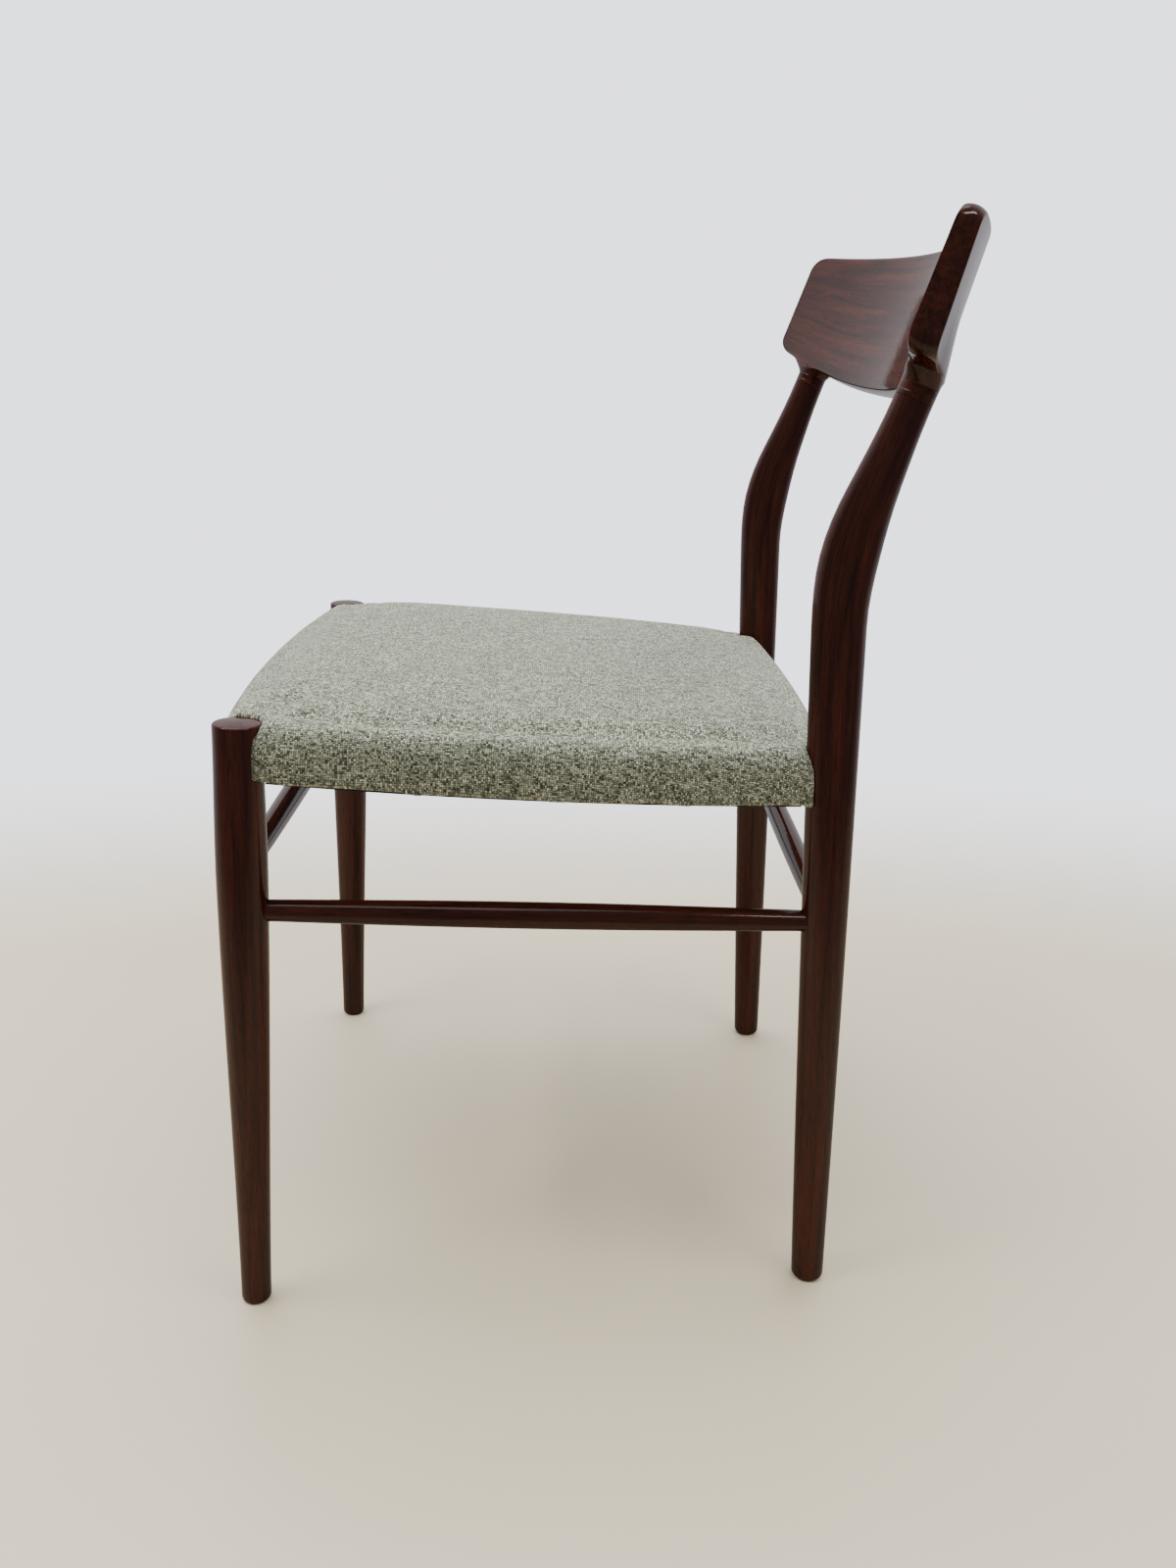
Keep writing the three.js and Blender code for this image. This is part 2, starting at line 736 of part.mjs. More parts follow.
crossRails.forEach((row) => {
  const geometry = crossRailGeometry(row.edge, row.inward, row.joint.x, 0);
  row.rail = addPiece(`${row.name}_rail`, makeMesh(geometry, seat), beech);
  row.middle = row.edge(row.joint.x) + row.inward * (railInset + railThickness / 2);
  row.inner = row.middle + row.inward * railThickness / 2;
  cut(row.rail, ...legTools, ...sideRailTools);
});

// Two dowels in each end of each rail. Side rails use the first and third levels, cross rails
// the second and fourth, so that no two dowels meet inside a leg.
crossRails.forEach((row) => {
  sides.forEach(({ name, sign }, i) => {
    const sideMiddle = sideEdge(row.joint.y) - railInset - railThickness / 2;
    const sideX = sign * lerp(sideMiddle, row.joint.x, dowelBias);
    const sideY = row.joint.y + row.inward * sideShoulder;
    const crossX = row.joint.x - crossShoulder;
    const crossY = lerp(row.middle, row.joint.y, dowelBias);
    for (let pair = 0; pair < 2; pair += 1) {
      const sideLevel = railBottom + railHeight * (2 * pair + 0.5) / 4;
      const crossLevel = railBottom + railHeight * (2 * pair + 1.5) / 4;
      addRod(
        `${row.name}_${name}_side_dowel_${pair + 1}`,
        new THREE.Vector3(sideX, sideY - row.inward * dowelInLeg, sideLevel),
        new THREE.Vector3(sideX, sideY + row.inward * dowelInRail, sideLevel),
        railDowelRadius, seat, beech, [row.legs[i], sideRails[i]],
      );
      addRod(
        `${row.name}_${name}_cross_dowel_${pair + 1}`,
        new THREE.Vector3(sign * (crossX + dowelInLeg), crossY, crossLevel),
        new THREE.Vector3(sign * (crossX - dowelInRail), crossY, crossLevel),
        railDowelRadius, seat, beech, [row.legs[i], row.rail],
      );
    }
  });
});

crossRails.forEach((row) => {
  const grownRail = crossRailGeometry(row.edge, row.inward, row.joint.x, fitGap);
  const crossRailTool = toolSolid(grownRail.translate(0, row.inward * fitGap, 0), seat);
  sides.forEach(({ name, sign }, i) => {
    const innerX = sideEdge(row.inner) - sideBow(row.inner) - railInset - railThickness;
    const inside = new THREE.Vector2(innerX, row.inner);
    const geometry = blockGeometry(sign, inside, row.inward);
    const block = addPiece(`${row.name}_${name}_corner_block`, makeMesh(geometry, seat), beech);
    cut(block, ...legTools, ...sideRailTools, crossRailTool);
    const level = railBottom + blockLift + blockHeight / 2;
    const along = inside.y + row.inward * screwOffset;
    const faceX = sideEdge(along) - sideBow(along) - railInset - railThickness;
    addScrew(
      `${row.name}_${name}_side_screw`,
      new THREE.Vector3(sign * (faceX - screwGrip), along, level),
      new THREE.Vector3(sign, 0, 0), block, sideRails[i],
    );
    addScrew(
      `${row.name}_${name}_cross_screw`,
      new THREE.Vector3(sign * (innerX - screwOffset), row.inner + row.inward * screwGrip, level),
      new THREE.Vector3(0, -row.inward, 0), block, row.rail,
    );
  });
});

// ---- Webbing, foam, cover and dust cover

const strapRoom = 2 * (seatRearHalfWidth - railInset - railThickness - webbingMargin);
const webbingPitch = (strapRoom - webbingWidth) / (webbingCount - 1);
const strapStart = crossRails[0].inner - webbingOverlap;
const strapEnd = crossRails[1].inner + webbingOverlap;
for (let strap = 0; strap < webbingCount; strap += 1) {
  const mesh = makeMesh(
    new THREE.BoxGeometry(webbingWidth, strapEnd - strapStart, webbingThickness), seat);
  addPiece(`webbing_strap_${strap + 1}`, mesh, webbing);
  mesh.position.set(
    (strap - (webbingCount - 1) / 2) * webbingPitch,
    (strapStart + strapEnd) / 2,
    webbingBottom + webbingThickness / 2,
  );
}

// Cloth and foam are cut away round each leg, out to the corner beyond its axis.
const cornerNotches = sides.flatMap(({ sign }) => crossRails.map(({ joint, inward }) => (
  toolSolid(cutterGeometry(), seat, (mesh) => {
    mesh.position.set(sign * (joint.x + cutterSize / 2), joint.y - inward * cutterSize / 2, 0);
  })
)));

const foamGeometry = padGeometry(coverThickness + foamSlack, foamBottom, coverThickness + fitGap);
const foamPad = addPiece('foam_pad', makeMesh(foamGeometry, seat), foam);
cut(foamPad, ...legTools, ...cornerNotches);

const cover = addPiece('seat_cover', makeMesh(padGeometry(0, 0, 0), seat), tweed);
const coverInside = toolSolid(padGeometry(coverThickness, hemThickness, coverThickness), seat);
const mouthGeometry = new THREE.ExtrudeGeometry(
  planShape(hemWidth), { depth: 4 * hemThickness, bevelEnabled: false });
const coverMouth = toolSolid(mouthGeometry.translate(0, 0, -2 * hemThickness), seat);
cut(cover, coverInside, coverMouth, ...legTools, ...cornerNotches);

const dustSheet = new THREE.ExtrudeGeometry(
  planShape(dustCoverInset), { depth: dustCoverThickness, bevelEnabled: false });
const dustCover = addPiece('dust_cover', makeMesh(dustSheet, seat), blackCloth);
dustCover.position.z = -dustCoverThickness - fitGap;
cut(dustCover, ...legTools, ...cornerNotches);

// The part's origin is on the floor, under the middle of its outer box.
const outerBox = new THREE.Box3().setFromObject(chair, true);
chair.position.y = -(outerBox.min.y + outerBox.max.y) / 2;

export default chair;
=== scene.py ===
# A dining chair: turned and bent legs in dark stained wood, a curved backrest, a tweed seat.
# Pieces are modelled in millimetres on a bench whose origin lies between the front feet,
# and then moved into the room, which is in metres and shared with the CAD model.

import json
import math

import bmesh
import bpy
from mathutils import Matrix, Vector


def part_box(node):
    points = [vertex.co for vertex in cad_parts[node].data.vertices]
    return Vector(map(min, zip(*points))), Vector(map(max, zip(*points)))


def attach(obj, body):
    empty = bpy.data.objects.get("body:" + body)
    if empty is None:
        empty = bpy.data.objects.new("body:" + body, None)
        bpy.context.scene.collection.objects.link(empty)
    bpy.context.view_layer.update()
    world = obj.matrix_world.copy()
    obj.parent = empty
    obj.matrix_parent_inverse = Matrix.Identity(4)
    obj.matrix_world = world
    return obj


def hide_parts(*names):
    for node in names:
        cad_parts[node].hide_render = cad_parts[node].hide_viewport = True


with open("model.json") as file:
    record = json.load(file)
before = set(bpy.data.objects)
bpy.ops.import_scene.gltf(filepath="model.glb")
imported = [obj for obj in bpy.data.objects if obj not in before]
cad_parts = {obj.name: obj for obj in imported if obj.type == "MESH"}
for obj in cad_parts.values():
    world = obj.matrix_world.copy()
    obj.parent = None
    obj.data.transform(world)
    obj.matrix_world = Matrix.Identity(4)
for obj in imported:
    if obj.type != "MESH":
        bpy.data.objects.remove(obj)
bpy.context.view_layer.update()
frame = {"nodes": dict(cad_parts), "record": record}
print("frame loaded:", len(frame["nodes"]), "nodes")

sides = {"left": 1, "right": -1}
footRound = 4.5  # the round at every foot's edge
footRoundSteps = 6

frontLegs = {
    "height": 455,
    "footSpacing": 448,
    "topSpacing": 428,
    "rake": 13,  # how far the top stands behind the foot
    "footRadius": 11,
    "bellyRadius": 17.6,
    "bellyHeight": 350,
    "topRadius": 16.4,
    "arris": 1.5,  # the round at the top's edge
    "dome": 0.9,
    "segments": 72,
    "rings": 30,
    "arrisSteps": 5,
    "domeSteps": 8,
}

rearLegs = {
    "depth": 428,  # behind the front feet
    "spacing": 384,
    "rake": 0.033,
    "kneeHeight": 566,
    "kneeBlend": 45,
    "slope": 0.4,
    "footSize": (23.5, 24.6),  # width and depth of the oval
    "seatSize": (29, 37),
    "kneeSize": (29, 39.5),
    "seamSize": (25, 26.8),
    "seamHeight": 666,
    "seamDepth": 0.5,  # how deep the fine groove round the glue line is
    "earlySwell": 0.4,  # how much sooner than evenly the leg thickens above the foot
    "segments": 56,
    "rings": 60,
}

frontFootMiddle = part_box("front_leg_left")[0].y + frontLegs["footRadius"] / 1000
benchToRoom = Matrix.Translation((0, frontFootMiddle, 0)) @ Matrix.Scale(0.001, 4)


def lerp(low, high, share):
    return low + (high - low) * share


def smoothstep(value, low, high):
    share = min(max((value - low) / (high - low), 0), 1)
    return share * share * (3 - 2 * share)


def roundoff(distance, radius):
    # how far a quarter-round falls away at a distance from its edge
    rest = max(radius - distance, 0)
    return radius - math.sqrt(radius * radius - rest * rest)


def roundLevels(start, radius, steps):
    # levels that divide a quarter-round evenly, from its edge inwards
    return [start + radius * (1 - math.cos(step / steps * math.pi / 2)) for step in range(steps + 1)]


def reshape(bm, rule):
    for vert in bm.verts:
        vert.co = rule(vert.co)


def markGrain(bm, rule=None):
    # keeps where each point lies in the straight, unbent piece, with Z along the grain
    layer = bm.verts.layers.float_vector.new("grain")
    for vert in bm.verts:
        vert[layer] = rule(vert.co) if rule else vert.co


def sliceThrough(bm, place, direction, **cleared):
    # cuts everything along a plane; where one side is cleared away, the new end is closed
    cut = bmesh.ops.bisect_plane(
        bm, geom=bm.verts[:] + bm.edges[:] + bm.faces[:], plane_co=place, plane_no=direction, **cleared)
    if not cleared:
        return []
    rim = [item for item in cut["geom_cut"] if isinstance(item, bmesh.types.BMEdge)]
    return bmesh.ops.contextual_create(bm, geom=rim)["faces"]


def meshFrom(bm, name):
    mesh = bpy.data.meshes.new(name)
    bm.to_mesh(mesh)
    bm.free()
    return mesh


def addObject(name, data):
    item = bpy.data.objects.new(name, data)
    bpy.context.scene.collection.objects.link(item)
    return item


def makePiece(bm, name, material, replaced=(), sharpAngle=35):
    bmesh.ops.remove_doubles(bm, verts=bm.verts, dist=0.01)
    bmesh.ops.recalc_face_normals(bm, faces=bm.faces)
    bmesh.ops.transform(bm, matrix=benchToRoom, verts=bm.verts)
    mesh = meshFrom(bm, name)
    mesh.shade_smooth()
    mesh.set_sharp_from_angle(angle=math.radians(sharpAngle))
    mesh.materials.append(material)
    piece = addObject(name, mesh)
    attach(piece, "root")
    if replaced:
        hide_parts(*replaced)
    return piece


def toLinear(code):
    shares = [int(code[i:i + 2], 16) / 255 for i in (1, 3, 5)]
    return tuple(s / 12.92 if s <= 0.04045 else ((s + 0.055) / 1.055) ** 2.4 for s in shares) + (1,)


def addNode(tree, kind, links=None, values=None, stops=None, **settings):
    node = tree.nodes.new("ShaderNode" + kind)
    for name, value in settings.items():
        setattr(node, name, value)
    for socket, value in (values or {}).items():
        node.inputs[socket].default_value = value
    for socket, source in (links or {}).items():
        tree.links.new(source, node.inputs[socket])
    for i, (place, colour) in enumerate(stops or []):
        ramp = node.color_ramp.elements
        stop = ramp[i] if i < len(ramp) else ramp.new(place)
        stop.position = place
        stop.color = toLinear(colour)
    return node


def addBump(tree, shader, height, strength, depth, socket="Normal"):
    bump = addNode(tree, "Bump", {"Height": height}, {"Strength": strength, "Distance": depth})
    tree.links.new(bump.outputs[0], shader.inputs[socket])


def newMaterial(name, **shaderValues):
    material = bpy.data.materials.new(name)
    material.use_nodes = True
    tree = material.node_tree
    shader = tree.nodes["Principled BSDF"]
    for socket, value in shaderValues.items():
        shader.inputs[socket.replace("_", " ")].default_value = value
    return material, tree, shader


# Beech, stained rosewood brown and sprayed with satin-gloss lacquer: a dark, even red-brown with
# long faint streaks, fine pores that the lacquer bridges, and a clear hard shine on top. The wood
# under the lacquer has no shine of its own, since lacquer fills it and bends light as wood does.
stainedFinish = {
    "dark": "#210E09",
    "body": "#38180F",
    "warm": "#482014",
    "streakWidth": 7,
    "streakLength": 160,
    "poreWidth": 0.7,
    "poreLength": 14,
    "poreShade": 0.62,
    "peelSize": 6.25,  # the lacquer's faint orange peel
}


def stainedWoodMaterial(finish):
    material, tree, shader = newMaterial(
        "stained_beech_lacquered", Roughness=0.42, IOR=1.5, Specular_IOR_Level=0.0,
        Coat_Weight=0.34, Coat_Roughness=0.1, Coat_IOR=1.5)
    grain = addNode(tree, "Attribute", attribute_name="grain").outputs["Vector"]
    streakSpace = addNode(
        tree, "Mapping", {"Vector": grain},
        {"Scale": (1 / finish["streakWidth"], 1 / finish["streakWidth"], 1 / finish["streakLength"])})
    streaks = addNode(
        tree, "TexNoise", {"Vector": streakSpace.outputs[0]},
        {"Scale": 1, "Detail": 5, "Roughness": 0.62, "Distortion": 0.6})
    colour = addNode(
        tree, "ValToRGB", {"Fac": streaks.outputs["Fac"]},
        stops=[(0.33, finish["dark"]), (0.52, finish["body"]), (0.72, finish["warm"])])
    poreSpace = addNode(
        tree, "Mapping", {"Vector": grain},
        {"Scale": (1 / finish["poreWidth"], 1 / finish["poreWidth"], 1 / finish["poreLength"])})
    pores = addNode(
        tree, "TexNoise", {"Vector": poreSpace.outputs[0]}, {"Scale": 1, "Detail": 2, "Roughness": 0.5})
    poreMask = addNode(
        tree, "MapRange", {"Value": pores.outputs["Fac"]},
        {"From Min": 0.36, "From Max": 0.5, "To Min": finish["poreShade"], "To Max": 1})
    toned = addNode(
        tree, "Mix", {6: colour.outputs[0], 7: poreMask.outputs[0]},
        {0: 1.0}, data_type="RGBA", blend_type="MULTIPLY")
    tree.links.new(toned.outputs[2], shader.inputs["Base Color"])
    peel = addNode(
        tree, "TexNoise", {"Vector": grain},
        {"Scale": 1 / finish["peelSize"], "Detail": 2, "Roughness": 0.4})
    relief = addNode(tree, "Math", {0: poreMask.outputs[0], 1: peel.outputs["Fac"]}, operation="MULTIPLY")
    addBump(tree, shader, relief.outputs[0], 0.12, 0.0006)
    addBump(tree, shader, peel.outputs["Fac"], 0.1, 0.0008, "Coat Normal")
    shine = addNode(
        tree, "MapRange", {"Value": streaks.outputs["Fac"]},
        {"From Min": 0.3, "From Max": 0.7, "To Min": 0.36, "To Max": 0.48})
    tree.links.new(shine.outputs[0], shader.inputs["Roughness"])
    return material


# Beech, planed and left raw: pale pinkish tan with short dark flecks and open, dull grain.
beechFinish = {
    "pale": "#D3B48A",
    "deep": "#B48E63",
    "fleck": "#8A6440",
    "bandWidth": 9,
    "bandLength": 81,
    "fleckWidth": 1.5,
    "fleckLength": 3,
}


def grainScale(width, length, grainAxis):
    # the scale of a pattern that is this wide, and this long along the grain
    return [1000 / (length if axis == grainAxis else width) for axis in "xyz"]


def beechMaterial(finish, grainAxis):
    material, tree, shader = newMaterial("raw_beech_along_" + grainAxis, Roughness=0.62, IOR=1.5)
    place = addNode(tree, "TexCoord").outputs["Object"]
    bandScale = grainScale(finish["bandWidth"], finish["bandLength"], grainAxis)
    bands = addNode(tree, "Mapping", {"Vector": place}, {"Scale": bandScale})
    figure = addNode(
        tree, "TexNoise", {"Vector": bands.outputs[0]},
        {"Scale": 1, "Detail": 4, "Roughness": 0.6, "Distortion": 0.8})
    tone = addNode(
        tree, "ValToRGB", {"Fac": figure.outputs["Fac"]},
        stops=[(0.35, finish["deep"]), (0.65, finish["pale"])])
    fleckScale = grainScale(finish["fleckWidth"], finish["fleckLength"], grainAxis)
    fleckSpace = addNode(tree, "Mapping", {"Vector": place}, {"Scale": fleckScale})
    flecks = addNode(tree, "TexNoise", {"Vector": fleckSpace.outputs[0]}, {"Scale": 1, "Detail": 1})
    fleckMask = addNode(
        tree, "MapRange", {"Value": flecks.outputs["Fac"]}, {"From Min": 0.62, "From Max": 0.7})
    mixed = addNode(
        tree, "Mix", {0: fleckMask.outputs[0], 6: tone.outputs[0]},
        {7: toLinear(finish["fleck"])}, data_type="RGBA")
    tree.links.new(mixed.outputs[2], shader.inputs["Base Color"])
    addBump(tree, shader, figure.outputs["Fac"], 0.25, 0.0003)
    return material


# Wool tweed in plain weave, spun from mixed sage, cream and charcoal fibres: matt and speckled.
# The yarns are drawn 1.5 mm apart, so that the weave shows, and shade is painted into the gaps between
# them.
tweedFinish = {
    "yarnPitch": 1.5,
    "fleckLengths": (6, 4),  # along the yarns that run back to front, and along those across them
    "tones": [(0.34, "#26271D"), (0.42, "#545640"), (0.5, "#8F937A"), (0.57, "#BDC0A6"), (0.66, "#EDEACF")],
    # the dark colour painted into the gaps between the yarns, as their shade
    "gapShade": "#24241F",
    "wanderLength": 14,  # the yarns lie a little unevenly over this length
    "wanderReach": 1.6,
    "slubSize": (2.5, 26),  # the thick, darker runs in the yarns: across and along
    "slubShades": (0.78, 1.1),
}


def tweedMaterial(finish):
    material, tree, shader = newMaterial(
        "wool_tweed_plain_weave", Roughness=0.95, IOR=1.45, Sheen_Weight=0.25, Sheen_Roughness=0.5,
        Specular_IOR_Level=0.2)
    weave = addNode(tree, "UVMap", uv_map="weave").outputs[0]
    unevenness = addNode(
        tree, "TexNoise", {"Vector": weave}, {"Scale": 1 / finish["wanderLength"], "Detail": 2})
    reach = finish["wanderReach"]
    wander = addNode(
        tree, "VectorMath", {0: unevenness.outputs["Color"]}, {1: (reach, reach, 0)},
        operation="MULTIPLY")
    threadSpace = addNode(
        tree, "VectorMath", {0: weave, 2: wander.outputs[0]},
        {1: (1 / finish["yarnPitch"], 1 / finish["yarnPitch"], 0)}, operation="MULTIPLY_ADD")
    split = addNode(tree, "SeparateXYZ", {0: threadSpace.outputs[0]})
    counts = []
    arches = []
    for axis in (0, 1):
        count = addNode(tree, "Math", {0: split.outputs[axis]}, operation="FLOOR")
        fraction = addNode(tree, "Math", {0: split.outputs[axis]}, operation="FRACT")
        turned = addNode(tree, "Math", {0: fraction.outputs[0]}, {1: math.pi}, operation="MULTIPLY")
        arches.append(addNode(tree, "Math", {0: turned.outputs[0]}, operation="SINE").outputs[0])
        counts.append(count.outputs[0])
    total = addNode(tree, "Math", {0: counts[0], 1: counts[1]}, operation="ADD")
    over = addNode(tree, "Math", {0: total.outputs[0]}, {1: 2.0}, operation="FLOORED_MODULO").outputs[0]
    # each yarn's tone changes along its length and from one yarn to the next
    tones = []
    for axis in (0, 1):
        along = addNode(
            tree, "Math", {0: split.outputs[1 - axis]},
            {1: finish["yarnPitch"] / finish["fleckLengths"][axis]}, operation="MULTIPLY")
        spread = addNode(tree, "Math", {0: counts[axis]}, {1: 7.31}, operation="MULTIPLY")
        yarn = addNode(tree, "CombineXYZ", {0: spread.outputs[0], 1: along.outputs[0]}, {2: 5.0 * axis})
        tones.append(addNode(
            tree, "TexNoise", {"Vector": yarn.outputs[0]},
            {"Scale": 1, "Detail": 3, "Roughness": 0.75}).outputs["Fac"])
    tone = addNode(tree, "Mix", {0: over, 2: tones[0], 3: tones[1]})
    colour = addNode(tree, "ValToRGB", {"Fac": tone.outputs[0]}, stops=finish["tones"])
    slubSpace = addNode(
        tree, "VectorMath", {0: weave},
        {1: (1 / finish["slubSize"][0], 1 / finish["slubSize"][1], 0)}, operation="MULTIPLY")
    slubs = addNode(
        tree, "TexNoise", {"Vector": slubSpace.outputs[0]}, {"Scale": 1, "Detail": 3, "Roughness": 0.6})
    darkest, palest = finish["slubShades"]
    slubMask = addNode(
        tree, "MapRange", {"Value": slubs.outputs["Fac"]},
        {"From Min": 0.36, "From Max": 0.6, "To Min": darkest, "To Max": palest})
    spun = addNode(
        tree, "Mix", {6: colour.outputs[0], 7: slubMask.outputs[0]},
        {0: 1.0}, data_type="RGBA", blend_type="MULTIPLY")
    crowns = []
    for axis in (0, 1):
        half = addNode(tree, "Math", {0: arches[1 - axis]}, {1: 0.5, 2: 0.5}, operation="MULTIPLY_ADD")
        crowns.append(addNode(
            tree, "Math", {0: arches[axis], 1: half.outputs[0]}, operation="MULTIPLY").outputs[0])
    height = addNode(tree, "Mix", {0: over, 2: crowns[0], 3: crowns[1]}).outputs[0]
    # painted shade: where the yarns' crowns fall low between the yarns, the colour darkens towards the dark
    # gap colour
    shade = addNode(tree, "MapRange", {"Value": height}, {"From Min": 0.05, "From Max": 0.55})
    shaded = addNode(
        tree, "Mix", {0: shade.outputs[0], 7: spun.outputs[2]},
        {6: toLinear(finish["gapShade"])}, data_type="RGBA")
    tree.links.new(shaded.outputs[2], shader.inputs["Base Color"])
    addBump(tree, shader, height, 0.7, 0.0006)
    return material


# Polyurethane foam, cut from a block: pale yellow, matt, with open cells about 1 mm across.
foamFinish = {"pale": "#DCCB92", "cell": "#B39F62", "cellSize": 1.2}


def foamMaterial(finish):
    material, tree, shader = newMaterial("cut_polyurethane_foam", Roughness=0.95, IOR=1.45)
    place = addNode(tree, "TexCoord").outputs["Object"]
    cells = addNode(
        tree, "TexVoronoi", {"Vector": place}, {"Scale": 1000 / finish["cellSize"]},
        feature="DISTANCE_TO_EDGE")
    tone = addNode(
        tree, "ValToRGB", {"Fac": cells.outputs["Distance"]},
        stops=[(0.02, finish["pale"]), (0.35, finish["cell"])])
    tree.links.new(tone.outputs[0], shader.inputs["Base Color"])
    addBump(tree, shader, cells.outputs["Distance"], 0.6, -0.0005)
    return material


# Jute webbing in plain weave: brown, dry and hairy.
webbingFinish = {"pale": "#8C6F47", "deep": "#4E3A22", "threadWidth": 2.2}


def webbingMaterial(finish):
    material, tree, shader = newMaterial("jute_webbing", Roughness=0.9, IOR=1.45)
    place = addNode(tree, "TexCoord").outputs["Object"]
    waveLength = math.tau / 20  # how far apart the bands of a wave texture are at scale 1
    waves = []
    for direction in ("X", "Y"):
        waves.append(addNode(
            tree, "TexWave", {"Vector": place},
            {"Scale": waveLength * 1000 / finish["threadWidth"], "Distortion": 1.2, "Detail": 2},
            bands_direction=direction).outputs["Fac"])
    weave = addNode(tree, "Math", {0: waves[0], 1: waves[1]}, operation="MULTIPLY")
    tone = addNode(
        tree, "ValToRGB", {"Fac": weave.outputs[0]}, stops=[(0.1, finish["deep"]), (0.7, finish["pale"])])
    tree.links.new(tone.outputs[0], shader.inputs["Base Color"])
    addBump(tree, shader, weave.outputs[0], 0.6, 0.0005)
    return material


# Spun-bonded polypropylene, the black cloth under a seat: matt, with a pattern of pressed dots.
dustClothFinish = {"cloth": "#1C1B1A", "dot": "#0E0E0D", "dotPitch": 2.4, "mottle": 2.4}


def dustClothMaterial(finish):
    material, tree, shader = newMaterial("black_nonwoven", Roughness=0.85, IOR=1.49, Sheen_Weight=0.15)
    place = addNode(tree, "TexCoord").outputs["Object"]
    dots = addNode(
        tree, "TexVoronoi", {"Vector": place}, {"Scale": 1000 / finish["dotPitch"], "Randomness": 0.15})
    mottle = addNode(tree, "TexNoise", {"Vector": place}, {"Scale": 1000 / finish["mottle"], "Detail": 4})
    dotMask = addNode(
        tree, "MapRange", {"Value": dots.outputs["Distance"]}, {"From Min": 0.22, "From Max": 0.34})
    tone = addNode(
        tree, "Mix", {0: dotMask.outputs[0]},
        {6: toLinear(finish["dot"]), 7: toLinear(finish["cloth"])}, data_type="RGBA")
    mottled = addNode(
        tree, "Mix", {6: tone.outputs[2], 7: mottle.outputs["Fac"]}, {0: 0.35},
        data_type="RGBA", blend_type="OVERLAY")
    tree.links.new(mottled.outputs[2], shader.inputs["Base Color"])
    addBump(tree, shader, dotMask.outputs[0], 0.5, 0.0002)
    return material


# Zinc-plated steel: pale grey metal with a faintly mottled shine.
zincFinish = {"bright": "#C6C8C6", "dull": "#9A9C9A", "mottle": 3}


def zincMaterial(finish):
    material, tree, shader = newMaterial("zinc_plated_steel", Metallic=1.0)
    place = addNode(tree, "TexCoord").outputs["Object"]
    mottle = addNode(tree, "TexNoise", {"Vector": place}, {"Scale": 1000 / finish["mottle"], "Detail": 3})
    tone = addNode(
        tree, "ValToRGB", {"Fac": mottle.outputs["Fac"]},
        stops=[(0.35, finish["dull"]), (0.65, finish["bright"])])
    tree.links.new(tone.outputs[0], shader.inputs["Base Color"])
    wear = addNode(tree, "MapRange", {"Value": mottle.outputs["Fac"]}, {"To Min": 0.25, "To Max": 0.5})
    tree.links.new(wear.outputs[0], shader.inputs["Roughness"])
    return material


stainedWood = stainedWoodMaterial(stainedFinish)
rawBeech = {axis: beechMaterial(beechFinish, axis) for axis in "xyz"}
tweed = tweedMaterial(tweedFinish)
cutFoam = foamMaterial(foamFinish)
jute = webbingMaterial(webbingFinish)
dustCloth = dustClothMaterial(dustClothFinish)
zinc = zincMaterial(zincFinish)
print("materials made")


def turned(profile, steps):
    # spins a half outline of (radius, height) pairs round the Z axis
    bm = bmesh.new()
    verts = [bm.verts.new((radius, 0, height)) for radius, height in profile]
    edges = [bm.edges.new(pair) for pair in zip(verts, verts[1:])]
    bmesh.ops.spin(
        bm, geom=verts + edges, cent=(0, 0, 0), axis=(0, 0, 1), angle=math.tau, steps=steps, use_merge=True)
    bmesh.ops.remove_doubles(bm, verts=bm.verts, dist=0.01)
    markGrain(bm)
    return bm


def layAlong(bm, start, end):
    # turns a piece made along Z so that it runs from one point towards another
    turn = (end - start).to_track_quat("Z", "Y").to_matrix().to_4x4()
    bmesh.ops.transform(bm, matrix=Matrix.Translation(start) @ turn, verts=bm.verts)


def frontLegAxis(sign, height):
    share = height / frontLegs["height"]
    x = lerp(frontLegs["footSpacing"], frontLegs["topSpacing"], share) / 2
    return Vector((sign * x, frontLegs["rake"] * share, height))


def frontLegRadius(height):
    if height < frontLegs["bellyHeight"]:
        share = height / frontLegs["bellyHeight"]
        swell = (share + smoothstep(share, 0, 1)) / 2
        return lerp(frontLegs["footRadius"], frontLegs["bellyRadius"], swell)
    share = smoothstep(height, frontLegs["bellyHeight"], frontLegs["height"])
    return lerp(frontLegs["bellyRadius"], frontLegs["topRadius"], share)


def buildFrontLeg(name, sign):
    trim = 1  # the foot starts just below the floor, and the floor cuts it level
    top = frontLegs["height"] - frontLegs["dome"]
    arris = frontLegs["arris"]
    rings = frontLegs["rings"]
    levels = roundLevels(-trim, footRound, footRoundSteps)
    levels += [lerp(footRound - trim, top - arris, step / rings) for step in range(1, rings + 1)]
    profile = [(0, -trim)]
    for level in levels:
        profile.append((frontLegRadius(max(level, 0)) - roundoff(level + trim, footRound), level))
    for step in range(1, frontLegs["arrisSteps"] + 1):
        turn = step / frontLegs["arrisSteps"] * math.pi / 2
        profile.append((
            frontLegRadius(top) - arris * (1 - math.cos(turn)), top - arris * (1 - math.sin(turn))))
    domeRadius = profile[-1][0]
    for step in range(1, frontLegs["domeSteps"] + 1):
        share = step / frontLegs["domeSteps"]
        profile.append((domeRadius * (1 - share), top + frontLegs["dome"] * (1 - (1 - share) ** 2)))
    bm = turned(profile, frontLegs["segments"])
    layAlong(bm, frontLegAxis(sign, 0), frontLegAxis(sign, frontLegs["height"]))
    sliceThrough(bm, (0, 0, 0), (0, 0, 1), clear_inner=True)
    makePiece(bm, f"leg_front_{name}", stainedWood, [f"front_leg_{name}"])


